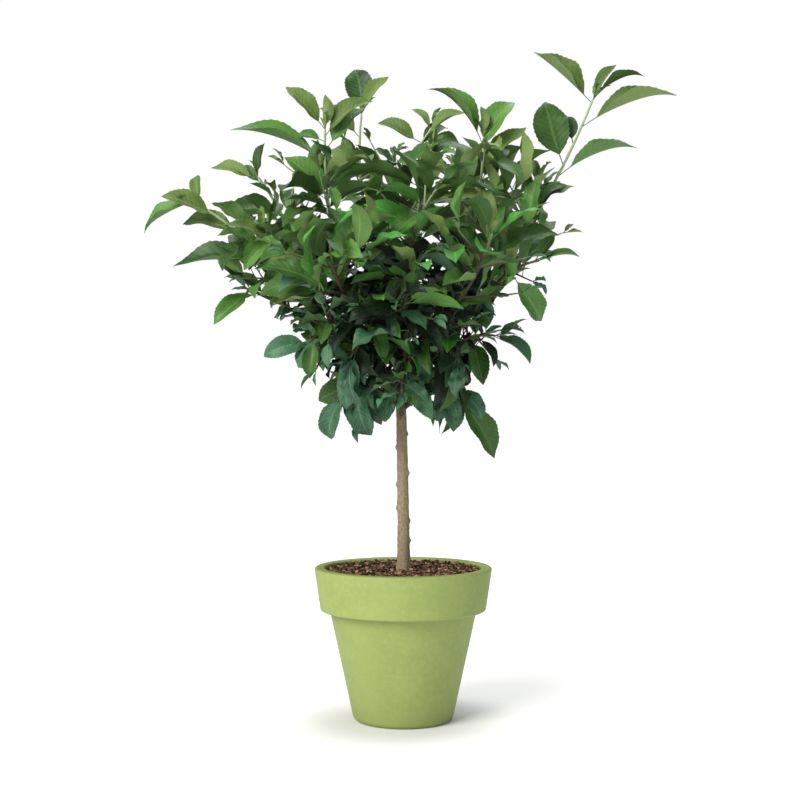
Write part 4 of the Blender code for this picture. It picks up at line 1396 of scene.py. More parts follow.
def worked(operation: str, swapped: bool = False) -> Callable[..., Value]:
    """Return a method that works out one operation with a Math node.

    Args:
        operation: The node's operation.
        swapped: Whether the other number comes first.

    Returns:
        The method.
    """
    def method(self: Value, *others: Value | float) -> Value:
        """Work out the operation on this value and any others."""
        values = (*others, self) if swapped else (self, *others)
        return self.graph.maths(operation, *values)
    return method


@dataclass(frozen=True)
class Value:
    """A number socket that can be used in expressions."""

    graph: Graph
    socket: Socket

    __add__ = __radd__ = worked("ADD")
    __mul__ = __rmul__ = worked("MULTIPLY")
    __sub__ = worked("SUBTRACT")
    __rsub__ = worked("SUBTRACT", swapped=True)
    __truediv__ = worked("DIVIDE")
    __gt__ = worked("GREATER_THAN")
    __abs__ = worked("ABSOLUTE")
    floor = worked("FLOOR")
    power = worked("POWER")


Number = Value | float


class Graph:
    """The nodes of one material."""

    def __init__(self, name: str) -> None:
        """Start a material with its Principled shader.

        Args:
            name: The material's name.
        """
        self.material = bpy.data.materials.new(name)
        self.material.use_nodes = True
        self.tree = self.material.node_tree
        self.shader = self.tree.nodes["Principled BSDF"]

    def node(self, kind: str, settings: dict | None = None,
             inputs: dict | None = None) -> bpy.types.Node:
        """Make a node.

        Args:
            kind: The node's type.
            settings: Its properties.
            inputs: Values or links for its sockets, by name or number.

        Returns:
            The node.
        """
        made = self.tree.nodes.new(kind)
        for key, setting in (settings or {}).items():
            setattr(made, key, setting)
        for key, given in (inputs or {}).items():
            self.feed(made.inputs[key], given)
        return made

    def feed(self, socket: Socket, given: object) -> None:
        """Link a socket to a value or another socket, or set its number or colour.

        Args:
            socket: The socket.
            given: The value or socket, or a number, position or display colour.
        """
        if isinstance(given, Value):
            self.tree.links.new(given.socket, socket)
        elif isinstance(given, Socket):
            self.tree.links.new(given, socket)
        elif isinstance(given, tuple) and socket.type == "RGBA":
            socket.default_value = linear(given)
        else:
            socket.default_value = given

    def ramp(self, share: Value, stops: Stops) -> Socket:
        """Return the colour at a share of a ramp.

        Args:
            share: The place on the ramp.
            stops: Places and their colours, at least two.

        Returns:
            The colour.
        """
        made = self.node("ShaderNodeValToRGB", None, {0: share})
        elements = made.color_ramp.elements
        while len(elements) < len(stops):
            elements.new(0.5)
        for element, (place, colour) in zip(elements, stops):
            element.position = place
            element.color = linear(colour)
        return made.outputs[0]

    def maths(self, operation: str, *values: Number) -> Value:
        """Work out a number with a Math node."""
        made = self.node("ShaderNodeMath", {"operation": operation}, dict(enumerate(values)))
        return Value(self, made.outputs[0])

    def within(self, value: Value, low: float, high: float) -> Value:
        """Return a smooth rise from 0 to 1 as a value goes from low to high."""
        made = self.node("ShaderNodeMapRange", {"interpolation_type": "SMOOTHSTEP"},
                         {"Value": value, "From Min": low, "From Max": high})
        return Value(self, made.outputs["Result"])

    def mix(self, share: Number, first: object, second: object) -> Socket:
        """Blend two colours."""
        made = self.node("ShaderNodeMix", {"data_type": "RGBA"}, {0: share, 6: first, 7: second})
        return made.outputs[2]

    def noise(self, place: object, scale: float, detail: float) -> Value:
        """Return soft noise from 0 to 1, read at a place."""
        made = self.node("ShaderNodeTexNoise", None,
                         {"Vector": place, "Scale": scale, "Detail": detail})
        return Value(self, made.outputs["Fac"])

    def stretched(self, place: object, scale: Triple) -> Socket:
        """Return a place scaled along each axis."""
        made = self.node("ShaderNodeMapping", None, {"Vector": place, "Scale": scale})
        return made.outputs[0]

    def object_place(self) -> Socket:
        """Return the place on the plant, in metres."""
        return self.node("ShaderNodeTexCoord").outputs["Object"]

    def map_place(self, name: str) -> Socket:
        """Return the place on a piece's own map."""
        return self.node("ShaderNodeUVMap", {"uv_map": name}).outputs[0]

    def point_value(self, name: str) -> Value:
        """Return the number kept at each point."""
        made = self.node("ShaderNodeAttribute", {"attribute_name": name})
        return Value(self, made.outputs["Fac"])

    def parts(self, place: object) -> tuple[Value, Value, Value]:
        """Return a place's three numbers."""
        made = self.node("ShaderNodeSeparateXYZ", None, {0: place})
        return tuple(Value(self, output) for output in made.outputs)

    def dress(self, colour: object, roughness: Number, height: Value, strength: float,
              depth: float, gloss: float) -> Material:
        """Feed the shader and return the material.

        Args:
            colour: The base colour.
            roughness: The roughness.
            height: The relief.
            strength: How strongly the relief tilts the surface.
            depth: The relief's height, in metres.
            gloss: The level of gloss.

        Returns:
            The material.
        """
        bump = self.node("ShaderNodeBump", None,
                         {"Height": height, "Strength": strength, "Distance": depth})
        for name, given in (("Base Color", colour), ("Roughness", roughness),
                            ("Specular IOR Level", gloss), ("Normal", bump.outputs[0])):
            self.feed(self.shader.inputs[name], given)
        return self.material


@dataclass(frozen=True)
class LeafFinish:
    """Satin upper side with paler veins and a downy, paler underside."""

    name: str
    shade: Colour
    light: Colour
    rib: Colour
    under: Colour
    edge: Colour
    roughness: float
    veins: float
    pairs: float = 13.0
    vein_slant: float = 2.1
    vein_shift: float = 0.45
    vein_width: float = 0.10
    vein_ends: Span = (1.0, 0.75)
    rib_width: Span = (0.02, 0.12)
    edge_width: Span = (0.90, 1.0)
    patch_scale: Triple = (9.0, 5.0, 1.0)
    blotch_scale: Triple = (30.0, 18.0, 1.0)
    tone_span: Span = (0.45, 1.35)
    downy: float = 0.22
    relief: float = 0.0007
    gloss: float = 0.24

    def material(self) -> Material:
        """Return the finish as a material that reads the leaf's own map."""
        graph = Graph(self.name)
        place = graph.map_place(BAKE_MAP)
        across_map, along_map, _flat = graph.parts(place)
        column, row = (across_map * MAP_CELLS).floor(), (along_map * MAP_CELLS).floor()
        local = across_map * MAP_CELLS - column
        below = local > MAP_HALF
        side = (local - below * MAP_HALF - MAP_MIDDLE) / MAP_REACH
        out = abs(side)
        along = along_map * MAP_CELLS - row
        cell = graph.node("ShaderNodeCombineXYZ", None, {0: column, 1: row, 2: 0.5})
        tone = graph.node("ShaderNodeTexWhiteNoise", {"noise_dimensions": "3D"},
                          {"Vector": cell.outputs[0]})
        tone = Value(graph, tone.outputs["Value"])
        phase = (along * self.pairs - out * self.vein_slant + tone * 3.0
                 + (side > 0.0) * self.vein_shift)
        wave = abs(phase - phase.floor() - 0.5)
        vein = ((1.0 - graph.within(wave, 0.0, self.vein_width))
                * graph.within(out, *self.vein_ends))
        rib = (1.0 - graph.within(out, *self.rib_width)) * (1.0 - along * 0.5)
        patch = graph.noise(graph.stretched(place, self.patch_scale), 3.0, 4.0)
        blotch = graph.noise(graph.stretched(place, self.blotch_scale), 3.0, 3.0)
        share = graph.within(tone * 0.7 + patch * 0.9 + blotch * 0.5 - along * 0.15,
                             *self.tone_span)
        colour = graph.mix(share, self.shade, self.light)
        colour = graph.mix(vein * self.veins, colour, self.rib)
        colour = graph.mix(graph.within(out, *self.edge_width) * 0.35, colour, self.edge)
        pale = graph.mix(vein * 0.35, self.under, self.rib)
        pale = graph.mix(patch * 0.35, pale, self.shade)
        colour = graph.mix(below, colour, pale)
        colour = graph.mix(rib * 0.5, colour, self.rib)
        height = wave * 0.9 + blotch * 0.8 - rib * 0.6 + below * (vein * 0.8 + rib * 1.4)
        roughness = self.roughness + below * self.downy + patch * 0.12 - 0.06
        return graph.dress(colour, roughness, height, 0.55, self.relief, self.gloss)


@dataclass(frozen=True)
class TwigFinish:
    """Young bark: pale downy green at the tips and browner towards the boughs; low down it turns
    darker and browner as painted shade.
    """

    tip: Colour = (164, 180, 142)
    middle: Colour = (134, 150, 110)
    foot: Colour = (66, 58, 40)
    grain_scale: float = 900.0
    patch_scale: float = 120.0
    # Painted shade: below these heights, in metres, twigs turn darker and browner
    painted_shade_heights: Span = (0.53, 0.64)
    relief: float = 0.0003
    gloss: float = 0.35

    def material(self) -> Material:
        """Return the finish as a material that reads each point's age."""
        graph = Graph("young_bark")
        age = graph.point_value("age")
        place = graph.object_place()
        grain = graph.noise(place, self.grain_scale, 2.0)
        patch = graph.noise(place, self.patch_scale, 3.0)
        _x, _y, height = graph.parts(place)
        # Painted shade, strongest low in the crown
        shade = 1.0 - graph.within(height, *self.painted_shade_heights)
        colour = graph.ramp(age + patch * 0.3 + shade * 0.8 - 0.15,
                            ((0.0, self.tip), (0.45, self.middle), (0.9, self.foot)))
        colour = graph.mix(grain * 0.3, colour, self.foot)
        return graph.dress(colour, 0.62 + grain * 0.2, grain + patch, 0.3, self.relief, self.gloss)


@dataclass(frozen=True)
class BarkFinish:
    """Grey-brown bark with streaks along the limb, rings across it and fine specks."""

    name: str
    light: Colour
    middle: Colour
    dark: Colour
    green: Colour
    greenness: float
    streak_scale: Triple = (1.1, 0.16, 1.0)
    ring_scale: Triple = (0.12, 0.9, 1.0)
    speck_scale: float = 1400.0
    patch_scale: float = 55.0
    pore_scale: Triple = (0.28, 0.75, 1.0)
    pore_width: Span = (0.10, 0.24)
    relief: float = 0.0011
    gloss: float = 0.3

    def material(self) -> Material:
        """Return the finish as a material that reads the limb's own map, in millimetres."""
        graph = Graph(self.name)
        place = graph.map_place("bark")
        solid = graph.object_place()
        streak = graph.noise(graph.stretched(place, self.streak_scale), 1.0, 5.0)
        ring = graph.noise(graph.stretched(place, self.ring_scale), 1.0, 4.0)
        speck = graph.noise(solid, self.speck_scale, 2.0)
        patch = graph.noise(solid, self.patch_scale, 3.0)
        pores = graph.node("ShaderNodeTexVoronoi", None,
                           {"Vector": graph.stretched(place, self.pore_scale), "Scale": 1.0})
        pore = 1.0 - graph.within(Value(graph, pores.outputs["Distance"]), *self.pore_width)
        colour = graph.ramp(streak * 0.45 + ring * 0.3 + speck * 0.25,
                            ((0.30, self.dark), (0.52, self.middle), (0.74, self.light)))
        colour = graph.mix(graph.within(patch, 0.45, 0.75) * self.greenness, colour, self.green)
        colour = graph.mix(pore * 0.45, colour, self.light)
        height = streak * 0.8 + ring * 0.7 + speck * 0.35 + pore * 0.5
        return graph.dress(colour, 0.74 + speck * 0.18, height, 0.75, self.relief, self.gloss)


@dataclass(frozen=True)
class PotFinish:
    """Matte lime green pot with faint mottling, a fine grain and a scuffed foot."""

    base: Colour = (143, 157, 88)
    pale: Colour = (155, 167, 101)
    deep: Colour = (137, 152, 84)
    dust: Colour = (128, 128, 96)
    foot_height: float = 0.03
    cloud_scale: float = 28.0
    mottle_scale: float = 160.0
    turned_scale: Triple = (6.0, 6.0, 420.0)
    grain_scale: float = 1500.0
    relief: float = 0.0006
    gloss: float = 0.4

    def material(self) -> Material:
        """Return the finish as a material that reads the place on the pot."""
        graph = Graph("pot_green")
        place = graph.object_place()
        _x, _y, height = graph.parts(place)
        cloud = graph.noise(place, self.cloud_scale, 4.0)
        mottle = graph.noise(place, self.mottle_scale, 3.0)
        turned_lines = graph.noise(graph.stretched(place, self.turned_scale), 1.0, 2.0)
        grain = graph.noise(place, self.grain_scale, 2.0)
        base_share = graph.within(cloud * 0.55 + mottle * 0.45, 0.38, 0.62)
        colour = graph.mix(base_share, self.deep, self.base)
        pale_share = graph.within(mottle * 0.6 + grain * 0.4, 0.50, 0.70) * 0.35
        colour = graph.mix(pale_share, colour, self.pale)
        low = 1.0 - graph.within(height, 0.0, self.foot_height)
        dust_share = low * graph.within(cloud + mottle * 0.6, 0.7, 1.0) * 0.4
        colour = graph.mix(dust_share, colour, self.dust)
        relief = grain * 0.5 + mottle * 0.35 + turned_lines * 0.25
        roughness = 0.56 + mottle * 0.14 + low * 0.1
        return graph.dress(colour, roughness, relief, 0.28, self.relief, self.gloss)


@dataclass(frozen=True)
class ChipFinish:
    """Bark chips or soil, with a fibrous grain; each chip can have its own tone."""

    name: str
    stops: Stops
    own_tone: bool
    grain_scale: float = 700.0
    coarse_scale: float = 160.0
    relief: float = 0.0012
    gloss: float = 0.25

    def material(self) -> Material:
        """Return the finish as a material."""
        graph = Graph(self.name)
        place = graph.object_place()
        grain = graph.noise(place, self.grain_scale, 4.0)
        coarse = graph.noise(place, self.coarse_scale, 3.0)
        tone = graph.point_value("tone") * 0.8 if self.own_tone else coarse * 0.6
        colour = graph.ramp(tone + grain * 0.4 - 0.1, self.stops)
        return graph.dress(colour, 0.8 + grain * 0.15, grain + coarse, 0.8, self.relief,
                           self.gloss)


# Shade, light, rib, underside and edge of each tint, its roughness and how strongly veins show
LEAF_FINISHES = {
    Tint.YOUNG: LeafFinish("leaf_young", (58, 80, 34), (92, 116, 54), (138, 160, 92),
                           (120, 142, 84), (118, 142, 72), 0.50, 0.13),
    Tint.FRESH: LeafFinish("leaf_fresh", (42, 100, 38), (72, 142, 56), (132, 192, 94),
                           (96, 148, 72), (82, 152, 60), 0.46, 0.16),
    Tint.GROWN: LeafFinish("leaf_grown", (44, 84, 34), (82, 126, 54), (128, 158, 86),
                           (94, 126, 68), (84, 118, 52), 0.44, 0.18),
    Tint.SHADED: LeafFinish("leaf_shaded", (30, 58, 24), (58, 92, 38), (98, 128, 66),
                            (70, 100, 50), (64, 92, 42), 0.44, 0.22),
    # The near-black tint is painted shade for the crown's core
    Tint.DEEP: LeafFinish("leaf_painted_shade", (9, 19, 10), (20, 38, 19), (44, 68, 36),
                          (24, 40, 22), (34, 60, 28), 0.5, 0.22),
    # The old leaves' blue-green is in part a painted reflection of the sky
    Tint.OLD: LeafFinish("leaf_old", (30, 61, 43), (67, 110, 79), (112, 146, 108),
                         (84, 116, 82), (72, 92, 52), 0.44, 0.26),
}
TRUNK_BARK = BarkFinish("trunk_bark", (184, 168, 144), (142, 125, 101), (84, 71, 55),
                        (124, 122, 92), 0.3)
# The boughs' bark is darker than the trunk's, in part as painted shade for the crown's core
BOUGH_BARK = BarkFinish("bough_bark", (118, 106, 80), (80, 70, 48), (46, 38, 26),
                        (82, 90, 54), 0.5)
DARK_SOIL = ChipFinish("dark_soil", ((0.2, (24, 16, 12)), (0.8, (64, 44, 34))), False)
BARK_CHIPS = ChipFinish("bark_chips", ((0.10, (18, 11, 9)), (0.40, (82, 57, 41)),
                                       (0.68, (136, 104, 80)), (0.95, (196, 166, 136))), True)


@dataclass(frozen=True)
class Pot:
    """The turned pot: a flat foot, a tapering body, a deep collar and a rounded lip."""

    height: float = 189.0
    sides: int = 144
    rim_radius: float = 110.0
    rim_edge: float = 2.8
    lip_width: float = 13.0
    collar_foot_height: float = 136.0
    collar_foot_radius: float = 103.0
    collar_edge: float = 2.6
    neck_radius: float = 91.0
    neck_fillet: float = 1.6
    foot_corner: float = 8.0
    foot_side_radius: float = 63.0
    wall: float = 6.0
    floor: float = 9.0
    inner_steps: Span = (150.0, 138.0)
    inner_draft: float = 1.0
    sharp: float = 32.0

    def outline(self) -> list[Span]:
        """Return the pot's outline as radius and height, from its foot round to its floor."""
        foot = self.foot_side_radius - self.foot_corner
        lip = self.rim_radius - self.lip_width
        fillet, edge = self.neck_fillet, self.collar_edge
        points = [(0.0, 0.0), (foot * 0.5, 0.0)]
        points += arc((foot, self.foot_corner), self.foot_corner, -90, -12, 8)
        points += arc((self.neck_radius + fillet, self.collar_foot_height - fillet),
                      fillet, 168, 90, 4)
        points += arc((self.collar_foot_radius - edge, self.collar_foot_height + edge),
                      edge, -90, 7, 6)
        edge = self.rim_edge
        points += arc((self.rim_radius - edge, self.height - edge), edge, -7, 90, 7)
        points += arc((lip + edge, self.height - edge), edge, 90, 180, 6)
        points += [(lip - self.inner_draft, self.inner_steps[0]),
                   (self.neck_radius - self.wall, self.inner_steps[1]),
                   (self.foot_side_radius - self.wall, self.floor), (0.0, self.floor)]
        return points

    def build(self) -> None:
        """Spin the outline into the pot and dress it."""
        shape = bmesh.new()
        verts = [shape.verts.new((radius * MM, 0, height * MM))
                 for radius, height in self.outline()]
        edges = [shape.edges.new(pair) for pair in zip(verts, verts[1:])]
        bmesh.ops.spin(shape, geom=verts + edges, axis=UP, cent=(0, 0, 0), steps=self.sides,
                       angle=math.tau, use_merge=True)
        bmesh.ops.remove_doubles(shape, verts=shape.verts, dist=MERGE_DISTANCE)
        bmesh.ops.recalc_face_normals(shape, faces=shape.faces)
        add_piece("pot_body", mesh_from(shape, "pot_body"), PotFinish().material(),
                  ["pot"], self.sharp)


def arc(centre: Span, radius: float, first: float, last: float, count: int) -> list[Span]:
    """Return points, as radius and height, along an arc from one angle in degrees to another."""
    angles = [math.radians(lerp(first, last, index / count)) for index in range(count + 1)]
    return [(centre[0] + radius * math.cos(a), centre[1] + radius * math.sin(a)) for a in angles]


@dataclass(frozen=True)
class Mulch:
    """Bark chips that lie loose on the soil in the pot."""

    count: int = 1600
    reach: float = 93.0
    clear_of_trunk: float = 9.0
    away_spread: float = 1.5
    turn_spread: float = 0.1
    heap_height: Span = (0.2, 3.8)
    lengths: Span = (4.0, 11.0)
    slimness: Span = (0.28, 0.6)
    thickness: Span = (0.9, 2.6)
    corner_shares: Span = (0.45, 1.1)
    tilt: float = 0.52
    highest: float = 5.4
    overhang: float = 2.0
    tone_power: float = 1.3

    def build(self) -> None:
        """Scatter the chips and dress them and the soil beneath."""
        bed = frame["nodes"]["mulch"]
        bed.data.materials.clear()
        bed.data.materials.append(DARK_SOIL.material())
        rule = np.random.default_rng(FIRST_SEED)
        number = np.arange(self.count) + 0.5
        room = self.reach - self.clear_of_trunk
        away = self.clear_of_trunk + room * np.sqrt(number / self.count)
        away = away + rule.uniform(-self.away_spread, self.away_spread, self.count)
        away = np.minimum(away, self.reach)
        turn = rule.uniform(-self.turn_spread, self.turn_spread, self.count)
        turn = number * GOLDEN_ANGLE + turn
        lift = rule.uniform(*self.heap_height, self.count) + SOIL_TOP
        centres = np.stack([away * np.cos(turn), away * np.sin(turn), lift], axis=1)
        long = rule.uniform(*self.lengths, self.count)
        size = np.stack([long, long * rule.uniform(*self.slimness, self.count),
                         rule.uniform(*self.thickness, self.count)], axis=1)
        corners = len(BOX_CORNERS)
        shape = np.array(BOX_CORNERS)[None] * 0.5 * size[:, None]
        shape = shape * rule.uniform(*self.corner_shares, (self.count, corners, 3))
        yaw = rule.uniform(0, math.tau, self.count)
        pitch, roll = rule.normal(0, self.tilt, (2, self.count))
        points = shape @ rotations(yaw, pitch, roll) + centres[:, None]
        points[..., 2] = np.minimum(points[..., 2], SOIL_TOP + self.highest)
        radius = np.linalg.norm(points[..., :2], axis=2)
        points[..., :2] *= np.minimum(1, (self.reach + self.overhang) / radius)[..., None]
        tones = rule.uniform(0, 1, self.count) ** self.tone_power
        shift = (np.arange(self.count) * corners)[:, None, None]
        heap = Heap()
        heap.add(points.reshape(-1, 3), (np.array(BOX_FACES) + shift).reshape(-1, 4),
                 np.zeros((0, 3), int),
                 np.tile(((0, 0), (1, 0), (1, 1), (0, 1)), (len(BOX_FACES) * self.count, 1, 1)),
                 np.zeros((0, 3, 2)), np.repeat(tones, corners))
        add_piece("bark_chips", heap.mesh("bark_chips", "chip", "tone"), BARK_CHIPS.material(),
                  [])


def rotations(yaw: Array, pitch: Array, roll: Array) -> Array:
    """Return turns about the three axes as matrices for rows of positions.

    Args:
        yaw: Turns about Z.
        pitch: Turns about Y.
        roll: Turns about X.

    Returns:
        One matrix for each shape.
    """
    made = np.zeros((3, len(yaw), 3, 3))
    for layer, (angle, (one, two)) in enumerate(((roll, (1, 2)), (pitch, (2, 0)), (yaw, (0, 1)))):
        spare = 3 - one - two
        made[layer, :, spare, spare] = 1
        made[layer, :, one, one] = made[layer, :, two, two] = np.cos(angle)
        made[layer, :, one, two] = np.sin(angle)
        made[layer, :, two, one] = -np.sin(angle)
    return made[0] @ made[1] @ made[2]


@dataclass(frozen=True)
class Trunk:
    """The slim trunk: root flare, knots where side shoots were cut, and ring scars."""

    rings: int = 300
    sides: int = 56
    sharp: float = 60.0
    flare_radius: float = 2.9
    flare_height: float = 11.0
    flare_lobes: int = 5
    lobe_share: float = 0.3
    lobe_turn: float = 0.6
    knot_heights: tuple[float, ...] = (222.0, 246.0, 262.0, 291.0, 305.0, 337.0, 354.0, 372.0)
    knot_turns: tuple[float, ...] = (4.0, 18.0, 176.0, 190.0, -8.0, 172.0, 12.0, 250.0)
    knot_rise: float = 2.5
    knot_spread: float = 2.9
    knot_arc: float = 0.36
    dimple_depth: float = 0.55
    dimple_height: float = 7.0
    dimple_arc: float = 2.4
    scar_heights: tuple[float, ...] = (236.0, 268.0, 309.0, 345.0, 395.0)
    scar_rise: float = 0.5
    scar_wobble: float = 0.8
    scar_width: float = 0.7
    scar_apart: float = 2.4
    upper_scar_width: float = 0.6
    grain_waves: int = 26
    grain_lobes: tuple[int, int] = (2, 15)
    grain_pitch: Span = (0.02, 0.28)
    grain_cross: float = 1.7
    grain_depth: float = 0.055
    fork_ease: float = 14.0
    fork_swell: float = 1.04

    def build(self, axis: Axis) -> None:
        """Build the trunk's bark round its middle line.

        Args:
            axis: The trunk's middle line.
        """
        _shares, line, away = fine_line(axis, self.rings)
        turns = np.linspace(0, math.tau, self.sides, endpoint=False)
        skin = self.skin(line[:, 2], turns, np.linspace(*TRUNK_RADII, len(line)))
        leader = LIMBS["bough_leader"].radius
        ease = steps(away[-1] - self.fork_ease, away[-1], away)[:, None]
        skin = skin * (1 - ease) + leader * self.fork_swell * ease
        spokes = np.stack([np.cos(turns), np.sin(turns), np.zeros_like(turns)], axis=-1)
        heap = Heap()
        add_rings(heap, line[:, None, :] + spokes[None] * skin[..., None], away, axis.radii[0],
                  np.ones(len(line)))
        add_piece("trunk_bark", heap.mesh("trunk_bark", "bark", "age"), TRUNK_BARK.material(),
                  ["trunk"], self.sharp)

    def skin(self, heights: Array, turns: Array, radii: Array) -> Array:
        """Return the skin's radius at each height and angle.

        Args:
            heights: Each ring's height.
            turns: Each side's angle.
            radii: Each ring's plain radius.

        Returns:
            The radius, ring by ring and side by side.
        """
        rise = (heights - TRUNK_FOOT[2]) / self.flare_height
        lobes = 1 + self.lobe_share * np.cos(self.flare_lobes * turns + self.lobe_turn)
        skin = radii[:, None] + self.flare_radius * np.exp(-rise)[:, None] * lobes[None, :]
        for height, turn in zip(self.knot_heights, self.knot_turns):
            away = (turns - math.radians(turn) + math.pi) % math.tau - math.pi
            beside = (away / self.knot_arc)[None, :]
            near = (((heights - height) / self.knot_spread) ** 2)[:, None]
            dimple = np.exp(-near * self.dimple_height - (beside * self.dimple_arc) ** 2)
            bump = np.exp(-near - beside ** 2 / 2)
            skin += self.knot_rise * (bump - self.dimple_depth * dimple)
        for height in self.scar_heights:
            wobble = self.scar_wobble * np.sin(turns + height)[None, :]
            above = heights[:, None] - height - wobble
            scars = np.exp(-(above / self.scar_width) ** 2)
            scars += np.exp(-((above - self.scar_apart) / self.upper_scar_width) ** 2)
            skin += self.scar_rise * scars
        return skin + self.grain(heights, turns) * self.grain_depth

    def grain(self, heights: Array, turns: Array) -> Array:
        """Return the bark's grain as a sum of seeded waves that wind round the trunk.

        Args:
            heights: Each ring's height.
            turns: Each side's angle.

        Returns:
            The grain, ring by ring and side by side.
        """
        grain = np.zeros((len(heights), len(turns)))
        rule = np.random.default_rng(FIRST_SEED)
        for _wave in range(self.grain_waves):
            lobes, pitch = rule.integers(*self.grain_lobes), rule.uniform(*self.grain_pitch)
            phase = rule.uniform(0, math.tau, 2)
            winding = np.sin(lobes * turns + phase[0] + pitch * heights[:, None])
            grain += winding * np.cos(pitch * self.grain_cross * heights[:, None] + phase[1])
        return grain


@dataclass(frozen=True)
class Boughs:
    """The boughs, which grow out of the trunk without a seam, and end in their masses."""

    sharp: float = 60.0

    def build(self, limbs: dict[str, Axis]) -> None:
        """Build all the boughs as one piece.

        Args:
            limbs: The middle lines of trunk and boughs.
        """
        heap = Heap()
        for index, name in enumerate(LIMBS):
            Tube(limbs[name], BOUGH_SKIN, index).add_to(heap)
        add_piece("bough_wood", heap.mesh("bough_wood", "bark", "age"), BOUGH_BARK.material(),
                  list(LIMBS), self.sharp)


@dataclass(frozen=True)
class Foliage:
    """Stems, twigs, spurs and every leaf, dealt out into tints."""

    leaf_sharp: float = 75.0
    twig_sharp: float = 60.0
    bud_place: float = 0.995
    bud_counts: tuple[int, int] = (2, 3)
    bud_pitch: Span = (8.0, 34.0)
    bud_lengths: Span = (16.0, 30.0)
    bud_slimness: float = 0.36
    mesher: LeafMesher = LeafMesher()
    bud_mesher: LeafMesher = LeafMesher(stations=20, columns=(-1.0, 0.0, 1.0))

    def build(self, crown: Crown) -> None:
        """Build the twigs and one piece for each tint of leaf.

        Args:
            crown: The grown crown.
        """
        self.build_twigs(crown)
        rule = random.Random(FIRST_SEED)
        sprays: dict[Tint, list[Leaf]] = {tint: [] for tint in Tint}
        for leaf in crown.leaves:
            sprays[self.tint(leaf, rule)].append(leaf)
        tips = [*crown.stems.items()]
        tips += [(name, twig) for name, group in crown.twigs.items() for twig in group]
        buds = [leaf for name, axis in tips for leaf in self.buds(name, axis, rule)]
        high = [leaf for leaf in buds if leaf.root.z > HIGH_BUDS]
        low = [leaf for leaf in buds if leaf.root.z <= HIGH_BUDS]
        young = LEAF_FORMS[Tint.YOUNG]
        for name, tint, leaves in (("bud_leaves", Tint.YOUNG, high),
                                   ("low_bud_leaves", Tint.OLD, low)):
            heap = self.bud_mesher.blades(leaves, young, FIRST_SEED)
            self.place_leaves(name, tint, leaves, heap)
        for index, (tint, leaves) in enumerate(sprays.items()):
            heap = self.mesher.blades(leaves, LEAF_FORMS[tint], FIRST_SEED + index)
            self.place_leaves(tint.value, tint, leaves, heap)

    def place_leaves(self, name: str, tint: Tint, leaves: list[Leaf], heap: Heap) -> None:
        """Put leaves of one tint in the scene as a piece, for the masses that they belong to.

        Args:
            name: The piece's name.
            tint: The tint, which gives its finish and its slot.
            leaves: The leaves.
            heap: Their meshes.
        """
        masses = [mass for mass in MASSES if any(leaf.mass == mass for leaf in leaves)]
        add_piece(name, heap.mesh(name, BAKE_MAP, "age"), LEAF_FINISHES[tint].material(),
                  masses, self.leaf_sharp)
        LOG.info("%s: %d leaves", name, len(leaves))

    def build_twigs(self, crown: Crown) -> None:
        """Build stems, twigs and spurs as one piece.

        Args:
            crown: The grown crown.
        """
        heap = Heap()
        for index, (name, stem) in enumerate(crown.stems.items()):
            foot, tip = FINE_STEM_RADII
            radii = [min(LIMBS[MASSES[name].bough].tip_radius, foot), tip]
            Tube(Axis(stem.points, radii, self.rooted(stem)), STEM_SKIN, index).add_to(heap)
            for number, twig in enumerate(crown.twigs[name]):
                axis = Axis(twig.points, list(FINE_TWIG_RADII), twig.curve)
                Tube(axis, TWIG_SKIN, number).add_to(heap)
        for number, spur in enumerate(crown.spurs):
            Tube(spur, SPUR_SKIN, number).add_to(heap)
        add_piece("twigs", heap.mesh("twigs", "bark", "age"), TwigFinish().material(),
                  list(MASSES), self.twig_sharp)

    def rooted(self, stem: Axis) -> tuple[Vector, Vector, Vector]:
        """Return a stem's curve with its foot drawn back into its bough."""
        start, middle, end = stem.curve
        return start - stem.foot_heading * 2 * GAP, middle, end

    def buds(self, name: str, axis: Axis, rule: random.Random) -> list[Leaf]:
        """Return the small unfolding leaves at the tip of a stem or twig.

        Args:
            name: The mass.
            axis: The stem or twig.
            rule: The seeded rule.

        Returns:
            Two or three leaves.
        """
        root, heading, _radius = axis.at(self.bud_place)
        leaves = []
        turn = rule.uniform(0, math.tau)
        for _number in range(rule.choice(self.bud_counts)):
            pitch = math.radians(rule.uniform(*self.bud_pitch))
            along = heading * math.cos(pitch) + turned(heading, turn) * math.sin(pitch)
            length = rule.uniform(*self.bud_lengths)
            face = leaf_facing(along, heading, rule.uniform(-LEAF_ROLL, LEAF_ROLL))
            leaves.append(Leaf(name, root, along.normalized(), face, length,
                               length * self.bud_slimness, 0.0))
            turn += GOLDEN_ANGLE
        return leaves

    def odds(self, leaf: Leaf) -> tuple[int, ...]:
        """Return the odds of each tint for a leaf, by its place in the crown and its age.

        Args:
            leaf: The leaf.

        Returns:
            One number for each tint.
        """
        middle = leaf.middle
        side, height = in_front_view(middle)
        # Painted shade: leaves in the crown's core take the near-black tint
        inward = math.hypot(middle.x - FUNNEL_CENTRE, middle.y) < SHADE_CORE_RADIUS
        if inward and is_between(middle.z, SHADE_CORE_HEIGHTS):
            return SHADE_CORE_ODDS
        # Painted shade: leaves before the hollow mostly take dark tints
        if is_between(side, SHADED_HOLLOW_SIDES) and is_between(height, SHADED_HOLLOW_HEIGHTS):
            return SHADED_HOLLOW_ODDS
        if middle.z < OLD_HEIGHT:
            return OLD_ODDS
        if leaf.age < YOUNG_AGE:
            return TIP_ODDS if middle.z > SHOOT_HEIGHT else SPRAY_TIP_ODDS
        return SHOOT_ODDS if middle.z > SHOOT_HEIGHT else SPRAY_ODDS

